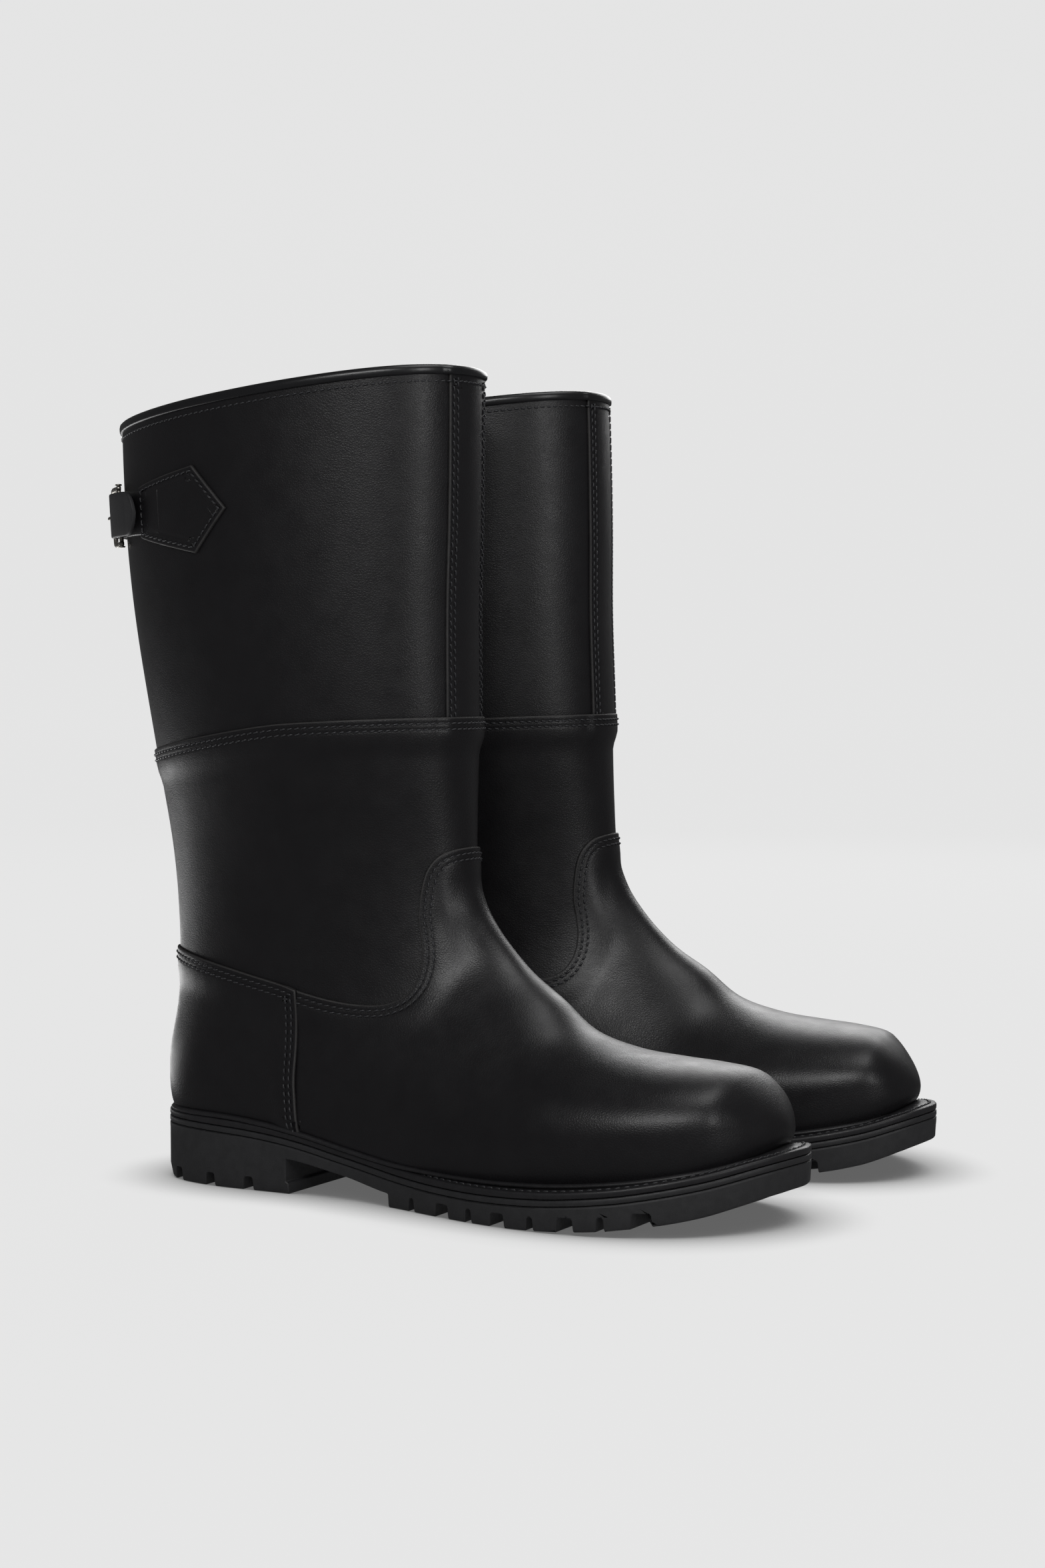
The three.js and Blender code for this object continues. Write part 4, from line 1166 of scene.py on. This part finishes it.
def lining(boot):
    """The shaft's lining, open behind the slit, and the bag that lines the foot."""
    top = ring_at([[x, z - 0.6] for x, z in TOPLINE])
    cut = slit_side(boot, 9.0, 262.0, 343.0)
    top = top[np.abs(top[:, 1]) < cut[-1, 1] - 0.01]
    low = ring_at([[-60, 122], [-30, 124], [60, 130], [180, 156]])
    left, right = mirrored(cut), cut
    notch = np.stack([np.full(20, cut[0, 0]), np.linspace(math.pi, cut[0, 1], 20)], 1)
    notch_in = mirrored(notch)[::-1]
    weld_out = np.stack([np.linspace(low[-1, 0], notch[0, 0], 60), np.full(60, math.pi)], 1)
    weld_in = mirrored(weld_out)[::-1]
    chains = [(top, "cut"), (right[::-1], "cut"), (notch[::-1], "cut"), (weld_out[::-1], "weld"),
              (low[::-1], "cut"), (weld_in[::-1], "weld"), (notch_in[::-1], "cut"), (left, "cut")]
    make_panel(boot, "shaft_lining", chains, lambda p, w: np.full(len(p), -2.4), look="lining", rows=(),
               thickness=1.1, dip=0.0, step=3.0)
    sections = np.concatenate([np.linspace(6.3, 18.4, 64), [18.7, 18.9, TIP]])
    angles = np.linspace(0, 2 * math.pi, 72, endpoint=False)
    s_grid, a_grid = np.meshgrid(sections, angles, indexing="ij")
    skins = [boot.at(s_grid, a_grid, np.full(s_grid.shape, off)) for off in (-4.25, -5.35)]
    verts, faces = [], []
    for skin, face_in in zip(skins, (False, True)):
        skin[-1] = skin[-1].mean(0)
        base = len(verts) * s_grid.size
        verts.append(skin.reshape(-1, 3))
        for i in range(len(sections) - 1):
            for k in range(72):
                m = (k + 1) % 72
                quad = (base + i * 72 + k, base + i * 72 + m, base + i * 72 + 72 + m, base + i * 72 + 72 + k)
                faces.append(quad[::-1] if face_in else quad)
    size = s_grid.size
    faces += [(k, size + k, size + (k + 1) % 72, (k + 1) % 72) for k in range(72)]
    build(boot, f"{boot.side}_foot_lining", np.concatenate(verts), faces, [LOOKS["lining"]],
          replaces=[f"{boot.side}_foot_lining"])


def gusset(boot):
    """The soft piece behind the slit."""
    heights = np.linspace(262, 337, 60)
    sides = []
    for sign in (-1, 1):
        a = angles_at(boot, sign * np.linspace(16, 18, 60), heights, back=True)
        sides.append(np.stack([boot.section_at(a, heights), a], 1))

    def across(z, half):
        ys = np.linspace(-half, half, 30)
        a = angles_at(boot, ys, np.full(30, z), True)
        return np.stack([boot.section_at(a, np.full(30, z)), a], 1)
    chains = [(sides[0][::-1], "cut"), (across(262, 16), "cut"), (sides[1], "cut"),
              (across(337, 18)[::-1], "cut")]

    make_panel(boot, "back_gusset", chains, lambda p, w: np.full(len(p), -1.36), rows=(), thickness=0.9,
               dip=0.0)


def binding(boot):
    """The rolled edge: up one side of the slit, round the topline and down the other side."""
    half = upper_edge(boot, SLIT_EDGE, SLIT_BOTTOM)
    path = np.vstack([half, mirrored(half)[::-1]])
    flat = resample(to_flat(path), 0.5)
    where = from_flat(rounded(flat, 4))
    points, up = boot.point(*where.T), boot.normal(*where.T)
    ahead = np.gradient(points, axis=0)
    ahead /= np.linalg.norm(ahead, axis=1, keepdims=True)
    outwards = np.cross(up, ahead)
    middle = len(points) // 2
    if outwards[middle, 2] < 0:
        outwards = -outwards
    over = 1.25 * strip_factor(boot, points)
    # outline of the roll: (towards the edge, off the surface)
    face = [(-3.0, 0.25), (-2.9, 0.95), (-2.2, 1.22), (-0.8, 1.28), (0.4, 1.0), (1.15, 0.2), (1.45, -0.9),
            (1.5, -1.8), (1.25, -2.9), (0.5, -3.9), (-0.6, -4.4), (-2.2, -4.5), (-2.9, -4.2), (-3.0, -3.4)]
    profile = np.repeat(np.array(face)[None], len(points), 0)
    profile[:, :6, 1] += over[:, None] * np.array([0.9, 1, 1, 1, 0.8, 0.3])
    count = len(points)
    flat_leg = ease((np.minimum(np.arange(count), np.arange(count)[::-1]) - 4) / 30)
    profile[:, :, 0] *= (0.62 + 0.38 * flat_leg)[:, None]
    profile[:, 6:, 1] = np.maximum(profile[:, 6:, 1], (-2.3 - 2.2 * flat_leg)[:, None])
    verts, faces = sweep(points, (outwards, up), profile)
    build(boot, f"{boot.side}_topline_binding", verts, faces, [LOOKS["glossy"]],
          replaces=[f"{boot.side}_topline_binding"])


# ---- the sole ----
def sole_outline(step=2.4):
    p = np.linspace(0, len(SOLE_EDGE) - 1, 900)
    rows = smooth(SOLE_EDGE, p)
    loop = np.vstack([rows[:, [0, 1]], rows[::-1][:, [0, 2]]])
    loop = resample(loop, step, closed=True)
    return rounded(loop, 3, closed=True)


def inwards(loop):
    ahead = np.roll(loop, -1, axis=0) - np.roll(loop, 1, axis=0)
    ahead /= np.linalg.norm(ahead, axis=1, keepdims=True)
    return np.stack([-ahead[:, 1], ahead[:, 0]], 1)


OUTLINE = sole_outline()
INWARDS = inwards(OUTLINE)


def inset(distance):
    return OUTLINE + INWARDS * np.broadcast_to(distance, (len(OUTLINE),))[:, None]


def plate(rows):
    """A closed slab whose skin runs through rows of (inset, height as a function of x), from the
    rim of its top face to the rim of its underside."""
    count = len(OUTLINE)
    verts, faces = [], []
    for distance, height in rows:
        loop = inset(distance(OUTLINE[:, 0]) if callable(distance) else distance)
        verts.append(np.column_stack([loop, height(OUTLINE[:, 0])]))
    for k in range(len(rows) - 1):
        for i in range(count):
            j = (i + 1) % count
            faces.append((k * count + i, (k + 1) * count + i, (k + 1) * count + j, k * count + j))
    total = len(rows) * count
    for k, flip in ((0, True), (len(rows) - 1, False)):
        loop = verts[k]
        low, high = loop.min(0), loop.max(0)
        axes = [np.arange(low[j], high[j], 5.0) for j in (0, 1)]
        grid = np.stack(np.meshgrid(*axes), -1).reshape(-1, 2)
        within, away = inside(grid, loop[:, :2])
        grid = grid[within & (away > 2.2)]
        fill, _, tris, origins, _, _ = delaunay_2d_cdt(
            [Vector(q) for q in loop[:, :2]] + [Vector(q) for q in grid],
            [(i, (i + 1) % count) for i in range(count)], [], 0, 1e-7, True)
        fill = np.array([v[:] for v in fill])
        tris = np.array([t for t in tris if len(t) == 3])
        tris = tris[inside(fill[tris].mean(1), loop[:, :2])[0]]
        number = np.arange(len(fill)) + total
        for i, origin in enumerate(origins):
            if len(origin) and min(origin) < count:
                number[i] = k * count + min(origin)
        verts.append(np.column_stack([fill, rows[k][1](fill[:, 0])]))
        total += len(fill)
        faces += [tuple(number[list(t)][::-1] if flip else number[list(t)]) for t in tris]
    return np.concatenate(verts), faces


def welt_top(drop):
    return lambda x: height_at(WELT_TOP, x) - drop


def ground(rise):
    return lambda x: np.where(x < 134, 0.0, np.maximum(height_at(TREAD_BOTTOM, x), 0)) + rise


def object_from(verts, faces, name):
    mesh = bpy.data.meshes.new(name)
    mesh.from_pydata([tuple(v) for v in verts], [], [tuple(int(i) for i in f) for f in faces])
    work = bmesh.new()
    work.from_mesh(mesh)
    bmesh.ops.remove_doubles(work, verts=work.verts, dist=1e-4)
    bmesh.ops.delete(work, geom=[v for v in work.verts if not v.link_faces], context="VERTS")
    bmesh.ops.recalc_face_normals(work, faces=work.faces)
    work.to_mesh(mesh)
    work.free()
    obj = bpy.data.objects.new(name, mesh)
    bpy.context.scene.collection.objects.link(obj)
    return obj


def cut_away(verts, faces, cutters):
    """The solid less the cutters, each (verts, faces), as verts and faces."""
    body = object_from(verts, faces, "body")
    tools = [object_from(v, f, "tool") for v, f in cutters]
    for tool in tools:
        cut = body.modifiers.new("cut", "BOOLEAN")
        cut.operation = "DIFFERENCE"
        cut.solver = "MANIFOLD"
        cut.object = tool
    made = body.evaluated_get(bpy.context.evaluated_depsgraph_get()).to_mesh()
    out = (np.array([v.co[:] for v in made.vertices]), [tuple(f.vertices) for f in made.polygons])
    for obj in [body, *tools]:
        mesh = obj.data
        bpy.data.objects.remove(obj)
        bpy.data.meshes.remove(mesh)
    return out


def prism(outline, start, stop):
    """A prism from y start to stop, with its outline as x and z."""
    count = len(outline)
    verts = [(x, y, z) for y in (start, stop) for x, z in outline]
    faces = [tuple(range(count)), tuple(reversed(range(count, 2 * count)))]
    faces += [(i, count + i, count + (i + 1) % count, (i + 1) % count) for i in range(count)]
    return np.array(verts, float), faces


def softened(obj, width):
    bevel = obj.modifiers.new("soft edges", "BEVEL")
    bevel.width = width / 1000
    bevel.segments = 2
    bevel.limit_method = "ANGLE"
    bevel.angle_limit = math.radians(32)
    bevel.use_clamp_overlap = False


def sole(boot):
    side = boot.side
    # welt: a strip with a stitched channel in its top
    channel = 3.3
    outline = [(13.0, 0.0), (7.0, 0.0), (channel + 1.0, 0.0), (channel + 0.7, -0.12), (channel + 0.45, -0.42),
               (channel, -0.5), (channel - 0.45, -0.42), (channel - 0.7, -0.12), (channel - 1.0, 0.0),
               (0.9, -0.02), (0.35, -0.2), (0.05, -0.62), (0.0, -1.3), (0.05, -2.3), (0.3, -2.8), (0.8, -3.0),
               (6.0, -3.0), (13.0, -3.0)]
    top = height_at(WELT_TOP, OUTLINE[:, 0])
    path = np.column_stack([OUTLINE, top])
    inward = np.column_stack([INWARDS, np.zeros(len(OUTLINE))])
    up = np.tile([0.0, 0.0, 1.0], (len(OUTLINE), 1))
    verts, faces = sweep(path, (inward, up), np.array(outline), closed=True)
    build(boot, f"{side}_welt", verts, faces, [LOOKS["welt"]],
          replaces=[f"{side}_welt"])
    ring = path + inward * channel - up * 0.36
    ring = np.vstack([ring, ring[:1]])
    add_stitches(boot, "welt", [(ring, np.vstack([up, up[:1]]))], pitch=3.9, radius=0.52, height=0.36,
                 slant=0.1)
    # midsole
    verts, faces = plate([
        (0.9, welt_top(3.25)), (0.25, welt_top(3.35)), (0.0, welt_top(3.75)), (0.0, welt_top(5.3)),
        (0.2, welt_top(5.75)), (0.8, welt_top(5.9)),
    ])
    build(boot, f"{side}_midsole", verts, faces, [LOOKS["midsole"]],
          replaces=[f"{side}_midsole"])
    # outsole, its waist and its tread cut out of one block

    def tuck(amount):
        return lambda x: amount + 2.3 * ease((16 - x) / 18) * amount
    verts, faces = plate([
        (1.0, welt_top(6.1)), (0.3, welt_top(6.2)), (0.0, welt_top(6.7)), (0.12, welt_top(9.0)),
        (0.25, ground(6.0)), (tuck(0.55), ground(1.1)), (tuck(0.75), ground(0.45)), (tuck(1.3), ground(0.0)),
    ])
    waist = [(BREAST + 1.6, -8), (BREAST + 1.4, 4.8), (BREAST, 5.4), (BREAST, 15.5)]
    waist += [(x, float(height_at(WAIST_BOTTOM, x))) for x in np.linspace(BREAST + 4, 133.5, 14)]
    waist += [(134.0, 5.6), (134.6, -8)]
    cutters = [prism(waist, -90, 90)]
    for x, width, inner in GROOVES:
        level = float(ground(0.0)(np.array(x)))
        flare = 1.2
        shape = [(x - width / 2 - flare, level - 6), (x + width / 2 + flare, level - 6),
                 (x + width / 2, level + LUG - 0.8), (x + width / 2 - 0.6, level + LUG),
                 (x - width / 2 + 0.6, level + LUG), (x - width / 2, level + LUG - 0.8)]
        cutters += [prism(shape, -90, -inner), prism(shape, inner, 90)]
    verts, faces = cut_away(verts, faces, cutters)
    rubber = build(boot, f"{side}_outsole", verts, faces, [LOOKS["rubber"]],
                   replaces=[f"{side}_outsole"], weld=0.02)
    softened(rubber, 0.4)
    sharpen(rubber)


def sharpen(obj, angle=34):
    obj.data.set_sharp_from_angle(angle=math.radians(angle))


def storm_rand(boot):
    """The bead that closes the seam between the upper and the welt."""
    rise = UPPER_RISE
    back, front = welt_crossing(8.0, 9.6, rise), welt_crossing(16.0, 18.4, rise)
    s = (back + front) / 2 - (front - back) / 2 * np.cos(np.linspace(0.0, math.pi, 500))
    line = welt_places(s, rise)
    line[[0, -1], 1] = math.pi
    loop = np.vstack([boot.point(*line.T), boot.point(*mirrored(line).T)[::-1][1:-1]])
    loop = rounded(resample(loop, 2.0, closed=True), 3, closed=True)
    ahead = np.roll(loop, -1, axis=0) - np.roll(loop, 1, axis=0)
    ahead[:, 2] = 0
    ahead /= np.linalg.norm(ahead, axis=1, keepdims=True)
    up = np.tile([0.0, 0.0, 1.0], (len(loop), 1))
    out = np.cross(ahead, up)
    if np.sum(out * (loop - loop.mean(0))) < 0:
        out = -out
    loop[:, 2] = height_at(WELT_TOP, loop[:, 0])
    bead = [(-1.8, 0.05), (0.6, 0.05), (2.0, 0.1), (2.6, 0.6), (2.55, 1.3), (2.0, 1.95), (1.2, 2.3),
            (0.4, 2.2), (-0.6, 2.0), (-1.8, 1.9)]
    verts, faces = sweep(loop, (out, up), bead, closed=True)
    build(boot, f"{boot.side}_storm_rand", verts, faces, [LOOKS["welt"]],
          replaces=[f"{boot.side}_storm_rand"])


# ---- strap and buckle ----
class Buckle:
    """Origin on the buckle's bar, X towards the free bar, Y outwards, Z up the boot."""

    def __init__(self, boot):
        a, end = shaft_angle(BUCKLE_ANGLE), shaft_angle(BUCKLE_END_ANGLE)

        def spot(angle, z, off):
            return boot.shaft(np.array([angle]), np.array([z]), np.array([off]))[0]
        self.origin = spot(a, STRAP_HEIGHT, BAR_OFFSET)
        free = spot(end, STRAP_HEIGHT, FREE_BAR_OFFSET)
        up = spot(a, STRAP_HEIGHT + 10, BAR_OFFSET) - spot(a, STRAP_HEIGHT - 10, BAR_OFFSET)
        self.x = free - self.origin
        self.reach = np.linalg.norm(self.x)
        self.x = self.x / self.reach
        self.y = np.cross(up, self.x)
        self.y /= np.linalg.norm(self.y)
        self.z = np.cross(self.x, self.y)

    def out(self, points):
        p = np.asarray(points, float)
        return self.origin + p[..., :1] * self.x + p[..., 1:2] * self.y + p[..., 2:3] * self.z


def tube(route, radii, sides=12):
    """A round rod along a route in the buckle's X, Y plane."""
    route, radii = np.asarray(route, float), np.asarray(radii, float)
    ahead = np.gradient(route, axis=0)
    ahead /= np.linalg.norm(ahead, axis=1, keepdims=True)
    across = np.tile([0.0, 0.0, 1.0], (len(route), 1))
    up = np.cross(across, ahead)
    t = np.linspace(0, 2 * math.pi, sides, endpoint=False)
    profile = np.stack([np.outer(radii, np.cos(t)), np.outer(radii, np.sin(t))], -1)
    return sweep(route, (across, up), profile)


def lathe(outline, sides=28):
    """A ring about the buckle's Z axis from a closed outline of (radius, height)."""
    t = np.linspace(0, 2 * math.pi, sides, endpoint=False)
    return skin([[(r * math.cos(a), r * math.sin(a), h) for r, h in outline] for a in t], closed=True)


def rod(radius, half, sides=20, soft=0.25):
    heights = [(0.0, -half), (radius - soft, -half), (radius, -half + soft), (radius, half - soft),
               (radius - soft, half), (0.0, half)]
    t = np.linspace(0, 2 * math.pi, sides, endpoint=False)
    return skin([[(r * math.cos(a), r * math.sin(a), h) for a in t] for r, h in heights], caps=False)


def buckle_metal(boot, buckle):
    half, rail, thick = 14.0, 2.4, 2.2
    line, radius = half - rail / 2, 4.6
    route = [(-1.0, -line)]
    right = buckle.reach
    for t in np.linspace(-math.pi / 2, 0, 9):
        route.append((right - radius + radius * math.cos(t), -line + radius + radius * math.sin(t)))
    for t in np.linspace(0, math.pi / 2, 9):
        route.append((right - radius + radius * math.cos(t), line - radius + radius * math.sin(t)))
    route.append((-1.0, line))
    flat = resample(np.array(route), 0.8)
    points = np.column_stack([flat[:, 0], np.zeros(len(flat)), flat[:, 1]])
    points[:, 1] = FRAME_BOW * ease((points[:, 0] - 1) / (right - 1))
    ahead = np.gradient(points, axis=0)
    ahead /= np.linalg.norm(ahead, axis=1, keepdims=True)
    outward = np.tile([0.0, 1.0, 0.0], (len(points), 1))
    across = np.cross(outward, ahead)
    r, t = rail / 2, thick / 2
    section = [(-r, -t + 0.6), (-r + 0.25, -t + 0.2), (-r + 0.6, -t), (r - 0.6, -t), (r - 0.25, -t + 0.2),
               (r, -t + 0.6), (r, t - 0.75), (r - 0.3, t - 0.3), (r - 0.75, t), (-r + 0.75, t),
               (-r + 0.3, t - 0.3), (-r, t - 0.75)]
    ring = sweep(points, (across, outward), section)
    ends = [lathe([(0.15, h), (1.45, h), (1.6, h + 0.25 * d), (1.35, h + 0.75 * d), (0.15, h + 0.9 * d)])
            for h, d in ((half - 0.1, 1), (-half + 0.1, -1))]
    verts, faces = joined(ring, rod(BAR_RADIUS, half - 0.6), *ends)
    build(boot, f"{boot.side}_buckle_frame", buckle.out(verts), faces, [LOOKS["metal"]],
          body=f"{boot.side}_frame", replaces=[f"{boot.side}_buckle_frame"])
    rest = thick / 2 + 0.95 + FRAME_BOW
    key = [(1.5, 1.0), (5, 2.3), (11, 2.9), (right - 1, rest + 0.2), (right + 2.2, rest)]
    dense = smooth(np.array(key), np.linspace(0, 4, 40))
    route = np.column_stack([dense, np.zeros(40)])
    radii = 0.82 + 0.14 * np.sin(np.linspace(0, math.pi, 40))
    radii[-5:] *= [0.97, 0.92, 0.84, 0.7, 0.35]
    eye = lathe([(1.22, -1.35), (2.0, -1.4), (2.2, -1.15), (2.2, 1.15), (2.0, 1.4), (1.22, 1.35)])
    verts, faces = joined(eye, tube(route, radii))
    build(boot, f"{boot.side}_buckle_prong", buckle.out(verts), faces, [LOOKS["metal"]],
          body=f"{boot.side}_prong", replaces=[f"{boot.side}_buckle_prong"])


def ribbon(boot, rows, thickness, substeps=5, soft=0.42):
    """A strap lying on the shaft, from rows of (angle, half width, inner face off the shaft)."""
    rows = smooth(np.array(rows, float), np.linspace(0, len(rows) - 1, substeps * (len(rows) - 1) + 1))
    t = thickness
    crown = [-0.97, -0.6, -0.2, 0.2, 0.6, 0.97]
    rings = []
    for degrees, half, off in rows:
        half = max(half, 0.6)
        inner = half - soft
        outline = [(-inner, 0.0), (-inner * 0.5, 0.0), (0, 0.0), (inner * 0.5, 0.0), (inner, 0.0),
                   (half - 0.12, 0.14), (half, soft), (half, t - soft), (half - 0.14, t - 0.14)]
        outline += [(inner * c, t) for c in reversed(crown)]
        outline += [(-half + 0.14, t - 0.14), (-half, t - soft), (-half, soft), (-half + 0.12, 0.14)]
        across = np.array(outline)
        a = np.full(len(across), shaft_angle(degrees))
        z = STRAP_HEIGHT + across[:, 0]
        rings.append(boot.shaft(a, z, off + across[:, 1]))
    return skin(rings)


def straps(boot):
    buckle = Buckle(boot)
    side = boot.side
    # the chape: from under the patch, round the bar
    rows = [(a, STRAP_HALF, 0.3) for a in (118, 124, 130, 137, 143, BUCKLE_ANGLE - 1.5)]
    rows += [(BUCKLE_ANGLE + 0.5, STRAP_HALF, 0.55)]
    loops = []
    for sign in (-1, 1):
        near, far = sorted((sign * 2.1, sign * STRAP_HALF))
        loops.append(lathe([(1.32, near + 0.2), (1.5, near), (2.2, near), (2.45, near + 0.3),
                            (2.45, far - 0.3), (2.2, far), (1.5, far), (1.32, far - 0.2)]))
    verts, faces = ribbon(boot, rows, 1.45)
    loop_verts, loop_faces = joined(*loops)
    verts, faces = joined((verts, faces), (buckle.out(loop_verts), loop_faces))
    build(boot, f"{side}_strap_chape", verts, faces, [LOOKS["upper"]],
          replaces=[f"{side}_strap_patch"])
    # the billet: round the back, under the free bar, over the bar, ending in a tongue
    over = BAR_OFFSET + 2.5 + 0.35
    crossing = 1.65
    rows = [(a, STRAP_HALF, 0.3) for a in (236, 230, 222, 214, 206)]
    rows += [(200, STRAP_HALF, 0.5), (194, STRAP_HALF, 1.3)]
    rows += [(a, STRAP_HALF, crossing) for a in (188, 183, 178)] + [(173, STRAP_HALF, 1.3)]
    rows += [(BUCKLE_END_ANGLE + 3.5, STRAP_HALF, 1.0), (BUCKLE_END_ANGLE - 1.5, STRAP_HALF, 0.75)]
    rows += [(BUCKLE_ANGLE + a, STRAP_HALF, off) for a, off in (
        (10, 1.4), (7, 3.2), (4, 4.9), (1, over), (-3, over + 0.1), (-8, over), (-14, over - 0.3))]
    # [angle from the bar, share of the full width]
    tip = [(-16.5, 0.985), (-18, 0.93), (-19.2, 0.82), (-20.2, 0.66), (-20.9, 0.46), (-21.3, 0.24),
           (-21.45, 0.08)]
    rows += [(BUCKLE_ANGLE + a, STRAP_HALF * f, over - 0.55 - 0.5 * (1 - f)) for a, f in tip]
    verts, faces = ribbon(boot, rows, 1.7)
    slot = [(-0.8, 0.0), (-0.3, -1.1), (0.8, -1.5), (12.8, -1.5), (13.9, -1.1), (14.4, 0.0), (13.9, 1.1),
            (12.8, 1.5), (0.8, 1.5), (-0.3, 1.1)]
    cutter, cutter_faces = prism(slot, -9.0, 9.0)
    verts, faces = cut_away(verts, faces, [(buckle.out(cutter), cutter_faces)])
    strap = build(boot, f"{side}_billet_strap", verts, faces, [LOOKS["strap"]],
                  replaces=[f"{side}_billet_strap"])
    sharpen(strap, 50)
    buckle_metal(boot, buckle)


for each in (Boot("right"), Boot("left")):
    for job in (upper_panels, lower_shaft, vamp, counter, strips, patches, lining, gusset, binding, sole,
                storm_rand, straps):
        job(each)
    for node_name, look in CARRIED.items():
        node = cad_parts[f"{each.side}_{node_name}"]
        node.data.materials.clear()
        node.data.materials.append(LOOKS[look])
